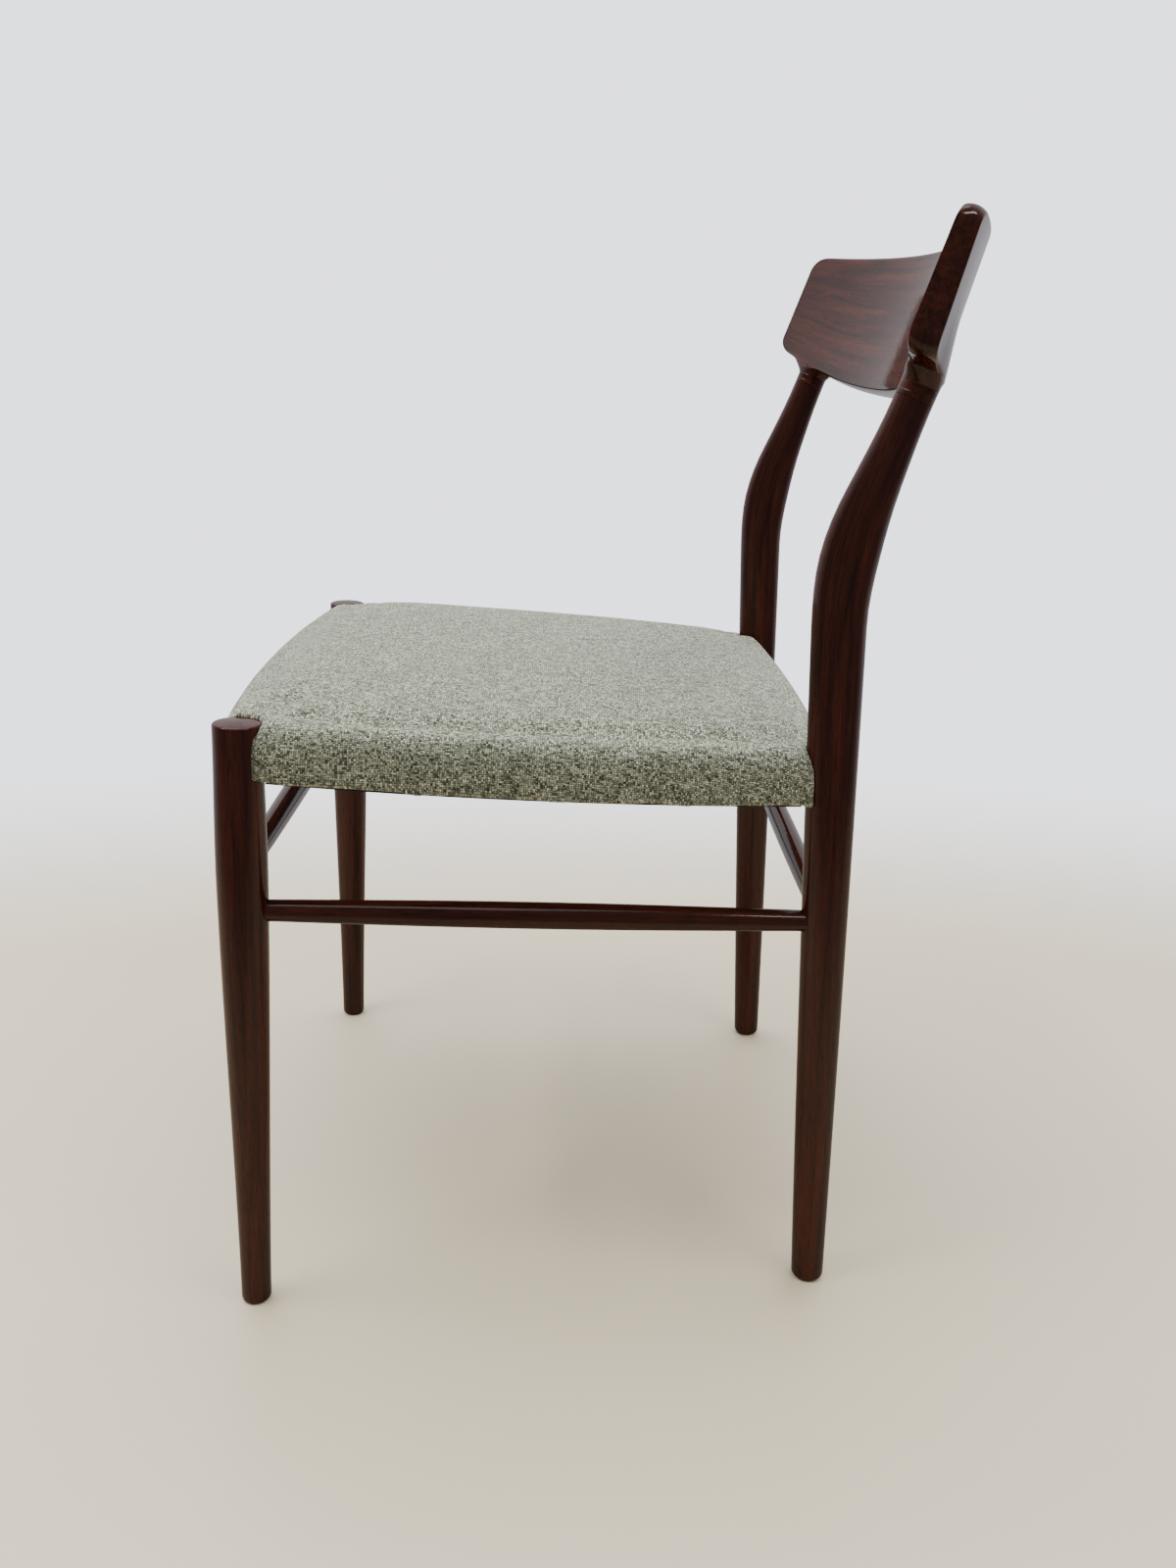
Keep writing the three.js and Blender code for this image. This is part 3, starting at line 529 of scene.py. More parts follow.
for name, sign in sides.items():
    buildFrontLeg(name, sign)
print("front legs turned")


def rearLegCentre(height):
    blend = rearLegs["kneeBlend"]
    past = height - rearLegs["kneeHeight"]
    turn = 0
    if past > blend:
        turn = past
    elif past > -blend:
        turn = (past + blend) ** 2 / (4 * blend)
    return rearLegs["depth"] - rearLegs["rake"] * height + rearLegs["slope"] * turn


def rearLegSize(height):
    # width and depth of the oval at a height
    kneeStart = rearLegs["kneeHeight"] - rearLegs["kneeBlend"]
    if height < kneeStart:
        share = height / kneeStart
        swell = share * (1 + rearLegs["earlySwell"] - rearLegs["earlySwell"] * share)
        low, high = rearLegs["footSize"], rearLegs["seatSize"]
    elif height < rearLegs["kneeHeight"]:
        swell = smoothstep(height, kneeStart, rearLegs["kneeHeight"])
        low, high = rearLegs["seatSize"], rearLegs["kneeSize"]
    else:
        swell = smoothstep(height, rearLegs["kneeHeight"], rearLegs["seamHeight"])
        low, high = rearLegs["kneeSize"], rearLegs["seamSize"]
    return lerp(low[0], high[0], swell), lerp(low[1], high[1], swell)


def straightRod(levels, segments):
    # a rod of radius 1 with a ring at each level
    bm = bmesh.new()
    bmesh.ops.create_circle(bm, cap_ends=True, radius=1, segments=segments)
    ring = bm.edges[:]
    bmesh.ops.translate(bm, vec=(0, 0, levels[0]), verts=bm.verts)
    for low, high in zip(levels, levels[1:]):
        grown = bmesh.ops.extrude_edge_only(bm, edges=ring)["geom"]
        ring = [item for item in grown if isinstance(item, bmesh.types.BMEdge)]
        verts = [item for item in grown if isinstance(item, bmesh.types.BMVert)]
        ring = [edge for edge in ring if edge.verts[0] in verts and edge.verts[1] in verts]
        bmesh.ops.translate(bm, vec=(0, 0, high - low), verts=verts)
    bmesh.ops.contextual_create(bm, geom=ring)
    return bm


postLean = math.atan(rearLegs["slope"] - rearLegs["rake"])
postDirection = Vector((0, math.sin(postLean), math.cos(postLean)))
seamGap = 0.3  # the glue line between post and backrest


def seamPoint(sign):
    height = rearLegs["seamHeight"]
    return Vector((sign * rearLegs["spacing"] / 2, rearLegCentre(height), height))


def buildRearLeg(name, sign):
    rings = rearLegs["rings"]
    top = rearLegs["seamHeight"] + rearLegs["seamSize"][1] / 2
    levels = roundLevels(0, footRound, footRoundSteps)
    levels += [lerp(footRound, top, step / rings) for step in range(1, rings + 1)]
    bm = straightRod(levels, rearLegs["segments"])

    def oval(point):
        width, depth = rearLegSize(point.z)
        fall = roundoff(point.z, footRound)
        return Vector((point.x * (width / 2 - fall), point.y * (depth / 2 - fall), point.z))

    def bend(point):
        x = point.x + sign * rearLegs["spacing"] / 2
        return Vector((x, point.y + rearLegCentre(point.z), point.z))

    reshape(bm, oval)
    markGrain(bm)
    reshape(bm, bend)
    end = sliceThrough(bm, seamPoint(sign) - postDirection * seamGap / 2, postDirection, clear_outer=True)
    # inside the groove the post's end rises to the stub, so that no light passes through the seam
    bmesh.ops.recalc_face_normals(bm, faces=bm.faces)
    bmesh.ops.inset_individual(bm, faces=end, thickness=rearLegs["seamDepth"], depth=seamGap * 0.9)
    makePiece(bm, f"leg_rear_{name}", stainedWood, [f"rear_leg_{name}"])


for name, sign in sides.items():
    buildRearLeg(name, sign)
print("rear legs shaped")


board = {
    "halfLength": 241,
    "flare": 5,  # how far the ends stand out at the bottom and in at the top
    "sag": 52,  # how far the middle lies behind the ends
    "lean": math.radians(19.3),
    "front": 418.5,  # how far back and how high the board's own origin lies
    "base": 683,
    "top": 102.8,
    "crown": 7.6,
    "endBottom": 13,
    "belly": 14.4,
    "bottomThickness": 20.5,
    "topThickness": 14.5,
    "cornerRadius": 13,
    "columns": [0, 30, 60, 90, 118, 142, 160, 175, 192, 209, 219, 229, 236, 239.8],
    "rows": [0.05, 0.2, 0.42, 0.62, 0.82, 0.95],
    "edgeTuck": 2.4,  # how far the front and back edges lie inside the outline
    "endTuckShare": 0.6,
    "neckHalfWidth": 17,  # from a post's axis to the cage's columns beside it
    "neckBulge": 7,  # how far the back stands out over each post
    "neckBulgeHeight": 62,
    "neckSpread": 22,
    "neckSwell": 2,  # the same at the front, along the lower edge only
}
ringFill = (2 + math.cos(math.pi / 4)) / 3  # how far inside eight cage points their smooth ring lies
boardToBench = (
    Matrix.Translation((0, board["front"], board["base"])) @ Matrix.Rotation(-board["lean"], 4, "X"))
stub = {"rises": [8, 3, 0]}  # the rings' heights above the seam, from the board down


def boardPoint(x, across, share):
    # a point of the cage: across runs from -1 at the front to 1 at the back, share from 0 to 1 upwards
    half = board["halfLength"]
    middle = 1 - (x / half) ** 2
    corner = roundoff(half - abs(x), board["cornerRadius"])
    bottom = board["endBottom"] - board["belly"] * math.sin(middle * math.pi / 2) ** 2 + corner
    top = board["top"] + board["crown"] * middle - corner
    height = lerp(bottom, top, share)
    atEnd = abs(x) > half - 0.1
    tuck = board["edgeTuck"] * abs(across)
    fromPost = abs(abs(x) - rearLegs["spacing"] / 2)
    if share < 0.01 and fromPost > board["neckHalfWidth"] + 1:
        height += tuck
    if share > 0.99:
        height -= tuck
    thickness = lerp(board["bottomThickness"], board["topThickness"], height / board["top"])
    flare = board["flare"] * (1 - 2 * height / board["top"]) * x / half
    overPost = math.exp(-((abs(x) - rearLegs["spacing"] / 2) / board["neckSpread"]) ** 2)
    bulge = 0
    if across > 0:
        bulge = board["neckBulge"] * overPost * (1 - smoothstep(height, 0, board["neckBulgeHeight"]))
    if across < 0 and share < 0.01:
        bulge = -board["neckSwell"] * overPost
    endTuck = tuck * board["endTuckShare"] if atEnd else 0
    return Vector((
        x + flare - math.copysign(endTuck, x),
        board["sag"] * middle + thickness * (1 + across) / 2 + bulge,
        height))


def boardGrain(point):
    # the board's grain runs from end to end, and on through the stubs
    height = point.z * board["top"]
    if point.z < -0.5:
        height = stub["rises"][round(-point.z) - 1] + rearLegs["seamHeight"] - board["base"]
    return Vector((height, point.y * board["bottomThickness"], point.x))


def stubPoint(sign, point):
    # rings of the stub count down from the board: the last one lies on the seam
    turn = Vector((
        (abs(point.x) - rearLegs["spacing"] / 2) / board["neckHalfWidth"] * sign, point.y * 2)).normalized()
    width, depth = rearLegs["seamSize"]
    depth = depth * math.cos(postLean)
    rise = stub["rises"][round(-point.z) - 1] + seamGap / 2
    across = Vector((1, 0, 0)) * turn.x * width / 2 / ringFill
    backwards = Vector((0, math.cos(postLean), -math.sin(postLean))) * turn.y * depth / 2 / ringFill
    return seamPoint(sign) + postDirection * rise + across + backwards


def buildBackrest():
    half = board["halfLength"]
    bm = bmesh.new()
    bmesh.ops.create_cube(bm, size=1)
    bmesh.ops.translate(bm, vec=(0, 0, 0.5), verts=bm.verts)
    bmesh.ops.scale(bm, vec=(2 * half, 1, 1), verts=bm.verts)
    cuts = [((sign * x, 0, 0), (1, 0, 0)) for x in board["columns"] for sign in ((1, -1) if x else (1,))]
    cuts += [((0, 0, row), (0, 0, 1)) for row in board["rows"]]
    cuts += [((0, 0, 0), (0, 1, 0))]
    for place, direction in cuts:
        sliceThrough(bm, place, direction)
    crease = bm.edges.layers.float.new("crease_edge")
    for sign in sides.values():

        def isOverPost(face):
            fromPost = sign * face.calc_center_median().x - rearLegs["spacing"] / 2
            return face.normal.z < -0.9 and abs(fromPost) < board["neckHalfWidth"]

        faces = [face for face in bm.faces if isOverPost(face)]
        for _ in stub["rises"]:
            grown = bmesh.ops.extrude_face_region(bm, geom=faces)["geom"]
            faces = [item for item in grown if isinstance(item, bmesh.types.BMFace)]
            verts = [item for item in grown if isinstance(item, bmesh.types.BMVert)]
            bmesh.ops.translate(bm, vec=(0, 0, -1), verts=verts)
        edges = {edge for face in faces for edge in face.edges}
        for edge in edges:
            if sum(face in faces for face in edge.link_faces) == 1:
                edge[crease] = 1
    markGrain(bm, boardGrain)

    def shape(point):
        if point.z < -0.5:
            return stubPoint(math.copysign(1, point.x), point)
        return boardToBench @ boardPoint(point.x, point.y * 2, point.z)

    reshape(bm, shape)
    piece = makePiece(bm, "backrest_board", stainedWood, ["backrest"], sharpAngle=180)
    smooth = piece.modifiers.new("smooth", "SUBSURF")
    smooth.levels = 3
    smooth.render_levels = 3


buildBackrest()
print("backrest carved")


stretchers = {"endRadius": 7.5, "middleRadius": 9.6, "socket": 9, "segments": 48, "rings": 24}
stretcherRows = [
    # name, the two ends as (leg, sign, height), set back
    ("side_stretcher_left", ("front", 1, 320), ("rear", 1, 306.5), 0),
    ("side_stretcher_right", ("front", -1, 320), ("rear", -1, 306.5), 0),
    ("front_stretcher", ("front", 1, 348), ("front", -1, 348), 0),
    ("rear_stretcher", ("rear", 1, 301), ("rear", -1, 301), 3),
]


def stretcherEnd(leg, sign, height, setBack):
    if leg == "front":
        return frontLegAxis(sign, height)
    return Vector((sign * rearLegs["spacing"] / 2, rearLegCentre(height) + setBack, height))


def legReach(leg, height, along):
    # from a leg's axis to its surface, where the stretcher meets it
    if leg == "front":
        return frontLegRadius(height)
    width, depth = rearLegSize(height)
    return depth / 2 if along == "side" else width / 2


def buildStretcher(name, fromEnd, toEnd, setBack):
    along = name.split("_")[0]
    start = stretcherEnd(*fromEnd, setBack)
    end = stretcherEnd(*toEnd, setBack)
    direction = (end - start).normalized()
    start += direction * (legReach(fromEnd[0], fromEnd[2], along) - stretchers["socket"])
    end -= direction * (legReach(toEnd[0], toEnd[2], along) - stretchers["socket"])
    length = (end - start).length
    profile = [(0, 0)]
    for step in range(stretchers["rings"] + 1):
        share = step / stretchers["rings"]
        radius = lerp(stretchers["endRadius"], stretchers["middleRadius"], math.sin(share * math.pi))
        profile.append((radius, share * length))
    profile.append((0, length))
    bm = turned(profile, stretchers["segments"])
    layAlong(bm, start, end)
    makePiece(bm, name + "_rod", stainedWood, [name])


for row in stretcherRows:
    buildStretcher(*row)
print("stretchers turned")


seat = {
    "underside": 416,
    "tilt": math.radians(2.9),
    "frontHalfWidth": 226.5,
    "rearHalfWidth": 202,
    "sideBow": 14,
    "frontEdge": -2,
    "frontBow": 15,  # 5 mm fuller than the rail under it, as the padding is rolled over the front
    "rearEdge": 414,
    "rearBow": 8,
    "edgeHeight": 41,
    "crown": 11.5,
    "sideFall": 3.2,  # the powers with which the crown falls away to the sides, front and back
    "frontFall": 7,
    "rearFall": 3.4,
    "roundover": 17,
    "roundFullness": 0.7,  # how far the roundover pulls in, against a full quarter-round
    "gather": 1.6,  # the power with which the pad's levels crowd towards the top edge
    "legClearance": 0.4,
    "notchReach": 90,
    "startInset": 1.2,  # the cloth starts a little smaller than the finished seat
    "voxel": 4.5,
    "pressure": 4,
    "swellLimit": 5,
    "swellFrames": 20,
    "heldBelow": 5,  # the cloth is stapled up to this height above the underside
    "smoothAbove": 3,
    "clothThickness": 1.6,
    "hemWidth": 18,
    "hemBelow": 4,
    "weaveTurn": 4,  # how far below the edge's height the weave turns down
}
seatToBench = Matrix.Translation((0, 0, seat["underside"])) @ Matrix.Rotation(-seat["tilt"], 4, "X")


def seatShare(y):
    return (y - seat["frontEdge"]) / (seat["rearEdge"] - seat["frontEdge"])


def sideEdge(y):
    share = seatShare(y)
    bow = 4 * share * (1 - share) * seat["sideBow"]
    return lerp(seat["frontHalfWidth"], seat["rearHalfWidth"], share) + bow


def frontEdge(x):
    return seat["frontEdge"] - seat["frontBow"] * (1 - (x / seat["frontHalfWidth"]) ** 2)


def rearEdge(x):
    return seat["rearEdge"] + seat["rearBow"] * (1 - (x / seat["rearHalfWidth"]) ** 2)


def planPoint(across, along, inset):
    # spreads a square, from -1 to 1 each way, over the seat's plan less an inset all round
    share = (along + 1) / 2
    roughY = lerp(seat["frontEdge"], seat["rearEdge"], share)
    x = across * (sideEdge(roughY) - inset)
    return x, lerp(frontEdge(x) + inset, rearEdge(x) - inset, share)


def insideBy(x, y):
    # how far a point of the plan lies inside the outline, and whether a side is the nearest edge
    toSide = sideEdge(y) - abs(x)
    toEnd = min(y - frontEdge(x), rearEdge(x) - y)
    return min(toSide, toEnd), toSide < toEnd


def padBlock(inset, bottom, topDrop, cells, layers=8):
    # a closed pad that fills the seat's plan up to its crowned top
    bm = bmesh.new()
    bmesh.ops.create_cube(bm, size=2)
    for axis, count in enumerate((cells, cells, layers)):
        direction = [0, 0, 0]
        direction[axis] = 1
        for step in range(1, count):
            place = [0, 0, 0]
            place[axis] = 2 * step / count - 1
            sliceThrough(bm, place, direction)
    edgeTop = seat["edgeHeight"] - topDrop

    def fill(point):
        level = lerp(bottom, edgeTop, 1 - (1 - (point.z + 1) / 2) ** seat["gather"])
        pull = inset + roundoff(edgeTop - level, seat["roundover"]) * seat["roundFullness"]
        x, y = planPoint(point.x, point.y, pull)
        crown = 0
        if point.z > 0.99:
            ends = 1 - abs(point.y) ** (seat["rearFall"] if point.y > 0 else seat["frontFall"])
            crown = seat["crown"] * (1 - abs(point.x) ** seat["sideFall"]) * ends
        return Vector((x, y, level + crown))

    reshape(bm, fill)
    return bm


def legOvals():
    # the four legs where they pass the seat: centre, half width and half depth, way out of the seat
    level = seat["underside"] + seat["edgeHeight"] / 2
    ovals = []
    for sign in sides.values():
        axis = frontLegAxis(sign, level)
        radius = frontLegRadius(level)
        ovals.append((axis.x, axis.y, radius, radius, (sign, -1)))
        width, depth = rearLegSize(level)
        x = sign * rearLegs["spacing"] / 2
        ovals.append((x, rearLegCentre(level), width / 2, depth / 2, (sign, 1)))
    return ovals


def notchCutter(clearance):
    # what is cut from cloth and foam round each leg, out to the corner beyond its axis
    bm = bmesh.new()
    size = seat["notchReach"]
    for x, y, halfWidth, halfDepth, outwards in legOvals():
        bmesh.ops.create_cone(
            bm, cap_ends=True, segments=48, radius1=1, radius2=1, depth=3 * size,
            matrix=Matrix.Translation((x, y, seat["underside"]))
            @ Matrix.Diagonal((halfWidth + clearance, halfDepth + clearance, 1, 1)))
        corner = (x + outwards[0] * size / 2, y + outwards[1] * size / 2, seat["underside"])
        bmesh.ops.create_cube(
            bm, size=size, matrix=Matrix.Translation(corner) @ Matrix.Diagonal((1, 1, 2.5, 1)))
    return bm


def linkBench(bm, name):
    # a working object that is still in bench millimetres
    bmesh.ops.recalc_face_normals(bm, faces=bm.faces)
    return addObject(name, meshFrom(bm, name))


def takeModifiers(working):
    # the mesh with its modifiers applied, as a bmesh; the working object is removed
    depsgraph = bpy.context.evaluated_depsgraph_get()
    result = bpy.data.meshes.new_from_object(working.evaluated_get(depsgraph))
    bm = bmesh.new()
    bm.from_mesh(result)
    bpy.data.meshes.remove(result)
    bpy.data.objects.remove(working)
    return bm


def cutNotches(bm, clearance):
    working = linkBench(bm, "cloth_blank")
    cutter = linkBench(notchCutter(clearance), "notch_cutter")
    notch = working.modifiers.new("notch", "BOOLEAN")
    notch.operation = "DIFFERENCE"
    notch.solver = "EXACT"
    notch.use_self = True
    notch.object = cutter
    cut = takeModifiers(working)
    bpy.data.objects.remove(cutter)
    return cut


def remeshed(bm, voxel):
    working = linkBench(bm, "cloth_blank")
    grid = working.modifiers.new("grid", "REMESH")
    grid.mode = "VOXEL"
    grid.voxel_size = voxel
    return takeModifiers(working)


def swell(bm, pressure, limit, isHeld):
    # blows the cloth up a little from inside; held points stay, and no point moves past the limit
    bmesh.ops.scale(bm, vec=(0.001, 0.001, 0.001), verts=bm.verts)
    working = addObject("cloth_try", meshFrom(bm.copy(), "cloth_try"))
    held = working.vertex_groups.new(name="held")
    heldPoints = [number for number, vert in enumerate(bm.verts) if isHeld(vert.co * 1000)]
    held.add(heldPoints, 1, "REPLACE")
    cloth = working.modifiers.new("cloth", "CLOTH")
    cloth.settings.use_pressure = True
    cloth.settings.uniform_pressure_force = pressure
    cloth.settings.vertex_group_mass = "held"
    cloth.settings.effector_weights.gravity = 0
    scene = bpy.context.scene
    for number in range(seat["swellFrames"]):
        scene.frame_set(number + 1)
    depsgraph = bpy.context.evaluated_depsgraph_get()
    blown = working.evaluated_get(depsgraph).to_mesh()
    moved = [vert.co.copy() for vert in blown.vertices]
    working.evaluated_get(depsgraph).to_mesh_clear()
    bpy.data.objects.remove(working)
    scene.frame_set(1)
    bm.normal_update()
    for vert, goal in zip(bm.verts, moved):
        step = goal - vert.co
        step -= vert.normal * min(step.dot(vert.normal), 0)  # the foam keeps the cloth from sinking in
        if step.length > limit / 1000:
            step = step.normalized() * limit / 1000
        vert.co += step
    bmesh.ops.scale(bm, vec=(1000, 1000, 1000), verts=bm.verts)


def hugLegs(bm, clearance, reach):
    # cloth that lies in a leg, or within reach of it, is laid against the leg's surface
    ovals = legOvals()
    for vert in bm.verts:
        for x, y, halfWidth, halfDepth, _ in ovals:
            wide = halfWidth + clearance
            deep = halfDepth + clearance
            across = Vector(((vert.co.x - x) / wide, (vert.co.y - y) / deep))
            if 0.05 < across.length < 1 + reach / halfWidth:
                across.normalize()
                vert.co.x = x + across.x * wide
                vert.co.y = y + across.y * deep


def weaveMap(bm, toSeat):
    # lays the weave over the seat as one cloth: flat on top, and running on down the sides
    layer = bm.loops.layers.uv.new("weave")
    turn = seat["edgeHeight"] - seat["weaveTurn"]
    for face in bm.faces:
        for loop in face.loops:
            x, y, height = toSeat @ loop.vert.co
            drop = max(turn - height, 0)
            nearSide = insideBy(x, y)[1]
            if nearSide:
                x += math.copysign(drop, x)
            else:
                y += drop if seatShare(y) > 0.5 else -drop
            loop[layer].uv = (x, y)


def buildSeatCover():
    bm = padBlock(seat["startInset"], 0, seat["startInset"], 16)
    bmesh.ops.transform(bm, matrix=seatToBench, verts=bm.verts)
    # the notches start tighter than the legs, so that hugLegs has cloth to lay against them
    bm = cutNotches(bm, seat["legClearance"] - seat["voxel"] * 0.8)
    bm = remeshed(bm, seat["voxel"])
    toSeat = seatToBench.inverted()
    swell(
        bm, seat["pressure"], seat["swellLimit"],
        lambda point: (toSeat @ point).z < seat["heldBelow"])
    upper = [vert for vert in bm.verts if (toSeat @ vert.co).z > seat["smoothAbove"]]
    bmesh.ops.smooth_vert(bm, verts=upper, factor=0.5, use_axis_x=True, use_axis_y=True, use_axis_z=True)
    hugLegs(bm, seat["legClearance"], seat["voxel"])

    def isPastHem(face):
        x, y, height = toSeat @ face.calc_center_median()
        isUnderneath = height < seat["hemBelow"] and face.normal.z < -0.8
        return isUnderneath and insideBy(x, y)[0] > seat["hemWidth"]

    bmesh.ops.delete(bm, geom=[face for face in bm.faces if isPastHem(face)], context="FACES")
    weaveMap(bm, toSeat)
    cover = makePiece(bm, "tweed_seat", tweed, ["seat_cover"], sharpAngle=180)
    fine = cover.modifiers.new("fine", "SUBSURF")
    fine.levels = 1
    fine.render_levels = 1
    cloth = cover.modifiers.new("cloth", "SOLIDIFY")
    cloth.thickness = seat["clothThickness"] / 1000
    cloth.offset = -1


# heights above the seat's underside; the foam's top lies below the cover's
foam = {"inset": 9, "bottom": 34.2, "topDrop": 6.5, "legClearance": 5}


def buildFoam():
    bm = padBlock(foam["inset"], foam["bottom"], foam["topDrop"], 12)
    bmesh.ops.transform(bm, matrix=seatToBench, verts=bm.verts)
    bm = cutNotches(bm, foam["legClearance"])
    pad = makePiece(bm, "foam_block", cutFoam, ["foam_pad"])


buildSeatCover()
buildFoam()
print("seat upholstered")


dust = {
    "inset": 7,
    "thickness": 0.5,
    "drop": 0.45,  # the gap between it and the hem
    "legClearance": 3,
    "staplePitch": 36,
    "stapleWidth": 9,
    "stapleWire": 0.8,
    "stapleRound": 0.18,
    "stapleInset": 14,
    "stapleFromLeg": 34,
    "askew": 0.12,  # no staple is driven quite straight
}


def buildDustCover():
    bm = bmesh.new()
    bmesh.ops.create_grid(bm, x_segments=44, y_segments=44, size=1)
    reshape(bm, lambda point: Vector((*planPoint(point.x, point.y, dust["inset"]), -dust["drop"])))
    bmesh.ops.solidify(bm, geom=bm.faces[:], thickness=dust["thickness"])
    bmesh.ops.transform(bm, matrix=seatToBench, verts=bm.verts)
    bm = cutNotches(bm, dust["legClearance"])
    area = sum(face.calc_area() for face in bm.faces if face.normal.z < -0.5) / 1e6
    sheet = makePiece(bm, "dust_cloth", dustCloth, ["dust_cover"])


def evenly(low, high, pitch):
    # places from low to high, as near to the pitch as equal steps allow
    count = max(round((high - low) / pitch), 1)
    return [lerp(low, high, step / count) for step in range(count + 1)]


def staplePlaces():
    # where each staple lies in the seat's plan, and which way it points
    inset = dust["stapleInset"]
    clear = dust["stapleFromLeg"]
    pitch = dust["staplePitch"]
    places = []
    for sign in sides.values():
        for y in evenly(seat["frontEdge"] + clear, seat["rearEdge"] - clear, pitch):
            places.append((sign * (sideEdge(y) - inset), y, math.pi / 2))
    ends = [(frontEdge, 1, seat["frontHalfWidth"]), (rearEdge, -1, seat["rearHalfWidth"])]
    for edge, inward, halfWidth in ends:
        for x in evenly(clear - halfWidth, halfWidth - clear, pitch):
            places.append((x, edge(x) + inward * inset, 0))
    return places


def stapleMesh():
    # a flat wire with its two ends bent up into the rail
    width = dust["stapleWidth"]
    wire = dust["stapleWire"]
    bm = bmesh.new()
    bmesh.ops.create_cube(bm, size=1)
    for place in (-0.4, 0.4):
        sliceThrough(bm, (place, 0, 0), (1, 0, 0))
    bmesh.ops.scale(bm, vec=(width, wire * 1.6, wire), verts=bm.verts)
    ends = [vert for vert in bm.verts if abs(vert.co.x) > width * 0.45]
    bmesh.ops.translate(bm, vec=(0, 0, wire), verts=ends)
    bmesh.ops.bevel(
        bm, geom=bm.edges[:], affect="EDGES", offset=dust["stapleRound"], segments=2, profile=0.5,
        material=-1, clamp_overlap=True)
    return meshFrom(bm, "staple")


def buildStaples():
    staple = stapleMesh()
    level = -dust["drop"] - dust["thickness"] - dust["stapleWire"] / 2
    bm = bmesh.new()
    for number, (x, y, turn) in enumerate(staplePlaces()):
        known = set(bm.verts)
        bm.from_mesh(staple)
        askew = dust["askew"] * math.sin(number * 2.4)
        place = Matrix.Translation((x, y, level)) @ Matrix.Rotation(turn + askew, 4, "Z")
        bmesh.ops.transform(bm, matrix=place, verts=[vert for vert in bm.verts if vert not in known])
    bpy.data.meshes.remove(staple)
    bmesh.ops.transform(bm, matrix=seatToBench, verts=bm.verts)
    makePiece(bm, "dust_cloth_staples", zinc)


buildDustCover()
buildStaples()
print("dust cover stapled")


finishes = {"webbing": jute, "zinc_steel": zinc, "foam": cutFoam}


def finishFor(node, slotName):
    # beech runs with its grain along the longest side of the piece
    if slotName == "beech":
        low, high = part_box(node)
        return rawBeech[max("xyz", key=lambda axis: getattr(high - low, axis))]
    return finishes.get(slotName)


for row in frame["record"]["subparts"]:
    finish = finishFor(row["node"], row["material_slot"])
    if finish:
        slots = frame["nodes"][row["node"]].data.materials
        slots.clear()
        slots.append(finish)
print("finishes given to the pieces inside the seat")


# name, place, what it is aimed at, size, power and colour
lamps = [
    ("ceiling", (-0.2, -0.4, 2.7), (0, 0, 0.3), (2.6, 2.6), 95, "#F1F5FF"),
    ("ceilingTubeFront", (0.5, -1.6, 2.4), (0, 0, 0.4), (1.2, 0.2), 26, "#FFFDF8"),
    ("ceilingTubeBack", (0.9, 1.2, 2.4), (0, 0, 0.4), (1.2, 0.2), 20, "#FFFDF8"),
]


def addLight(name, place, aimAt, size, power, colour):
    lamp = bpy.data.lights.new(name, "AREA")
    lamp.shape = "RECTANGLE"
    lamp.size, lamp.size_y = size
    lamp.energy = power
    lamp.color = toLinear(colour)[:3]
    light = addObject(name, lamp)
    light.location = place
    light.rotation_euler = (Vector(aimAt) - Vector(place)).to_track_quat("-Z", "Y").to_euler()


studio = {
    "backdrop": "#E6E8EE",
    "backdropStrength": 2.9,
    "wallStrength": 2.2,  # the pale wall beyond the chair's right side shines in the lacquer
    "wallSpan": (0.25, -0.6),
    "roomStrength": 0.4,  # the rest of the room is dimmer
}


def lightWorld(tree):
    tree.nodes.clear()
    place = addNode(tree, "TexCoord").outputs["Generated"]
    split = addNode(tree, "SeparateXYZ", {0: place})
    wallFrom, wallTo = studio["wallSpan"]
    strength = addNode(
        tree, "MapRange", {"Value": split.outputs["X"]},
        {"From Min": wallFrom, "From Max": wallTo,
         "To Min": studio["roomStrength"], "To Max": studio["wallStrength"]},
        interpolation_type="SMOOTHSTEP")
    colour = toLinear(studio["backdrop"])
    around = addNode(tree, "Background", {"Strength": strength.outputs[0]}, {"Color": colour})
    behind = addNode(tree, "Background", None, {"Color": colour, "Strength": studio["backdropStrength"]})
    rays = addNode(tree, "LightPath")
    seen = addNode(
        tree, "MixShader", {0: rays.outputs["Is Camera Ray"], 1: around.outputs[0], 2: behind.outputs[0]})
    addNode(tree, "OutputWorld", {"Surface": seen.outputs[0]})


# A sheet of pale matt vinyl that fades into the backdrop some way from the chair.
floorFinish = {"colour": "#DACBAB", "halfSize": 12, "reach": (0.85, 1.6), "fadeStart": 0.5, "fadeEnd": 1.4}


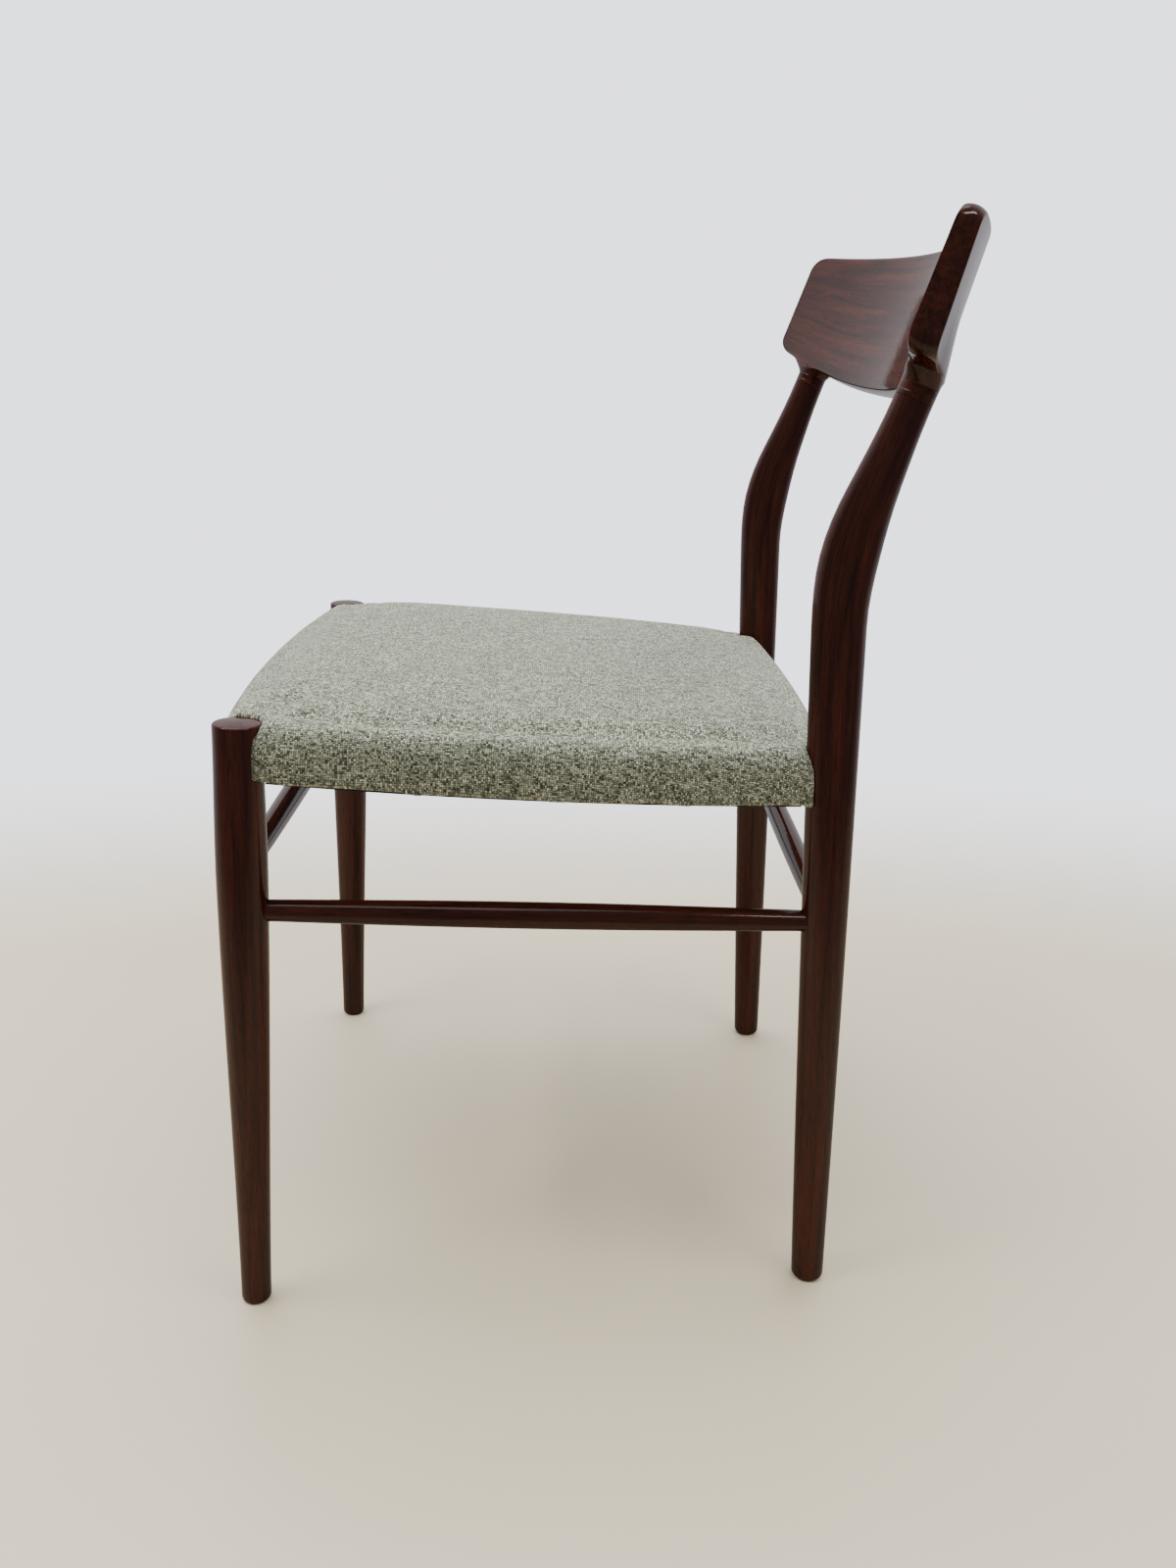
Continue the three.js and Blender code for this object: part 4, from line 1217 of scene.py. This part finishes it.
def paleFloorMaterial(finish):
    material, tree, shader = newMaterial("pale_floor", Roughness=0.55)
    shader.inputs["Base Color"].default_value = toLinear(finish["colour"])
    place = addNode(tree, "TexCoord").outputs["Object"]
    shares = addNode(tree, "VectorMath", {0: place}, {1: (*finish["reach"], 1)}, operation="DIVIDE")
    far = addNode(tree, "VectorMath", {0: shares.outputs[0]}, operation="LENGTH")
    fade = addNode(
        tree, "MapRange", {"Value": far.outputs["Value"]},
        {"From Min": finish["fadeStart"], "From Max": finish["fadeEnd"]}, interpolation_type="SMOOTHSTEP")
    clear = addNode(tree, "BsdfTransparent")
    faded = addNode(tree, "MixShader", {0: fade.outputs[0], 1: shader.outputs[0], 2: clear.outputs[0]})
    tree.links.new(faded.outputs[0], tree.nodes["Material Output"].inputs["Surface"])
    return material


def buildRoom():
    bm = bmesh.new()
    bmesh.ops.create_grid(bm, x_segments=1, y_segments=1, size=floorFinish["halfSize"])
    mesh = meshFrom(bm, "floor")
    mesh.materials.append(paleFloorMaterial(floorFinish))
    addObject("floor", mesh)
    world = bpy.data.worlds.new("studio")
    world.use_nodes = True
    bpy.context.scene.world = world
    lightWorld(world.node_tree)
    for lamp in lamps:
        addLight(*lamp)


# The camera looks level along -X, then is turned by its yaw, down by its pitch, and tipped by its roll.
view = {
    "place": (1.0267, -0.0180, 0.6883),
    "yaw": 0.0149,
    "pitch": 0.3245,
    "roll": 0.0208,
    "lens": 29.25,
    "sensorWidth": 36,
    "clipEnd": 60,
}


def buildCamera():
    yaw, pitch, roll = view["yaw"], view["pitch"], view["roll"]
    level = Vector((-math.cos(yaw), math.sin(yaw), 0))
    right = Vector((math.sin(yaw), math.cos(yaw), 0))
    up = Vector((0, 0, 1))
    forward = level * math.cos(pitch) - up * math.sin(pitch)
    above = up * math.cos(pitch) + level * math.sin(pitch)
    tiltedRight = right * math.cos(roll) + above * math.sin(roll)
    tiltedUp = above * math.cos(roll) - right * math.sin(roll)
    lens = bpy.data.cameras.new("camera")
    lens.lens = view["lens"]
    lens.sensor_width = view["sensorWidth"]
    lens.clip_end = view["clipEnd"]
    camera = addObject("camera", lens)
    turn = Matrix((tiltedRight, tiltedUp, -forward)).transposed().to_4x4()
    camera.matrix_world = Matrix.Translation(view["place"]) @ turn
    bpy.context.scene.camera = camera


buildRoom()
buildCamera()
print("room lit")
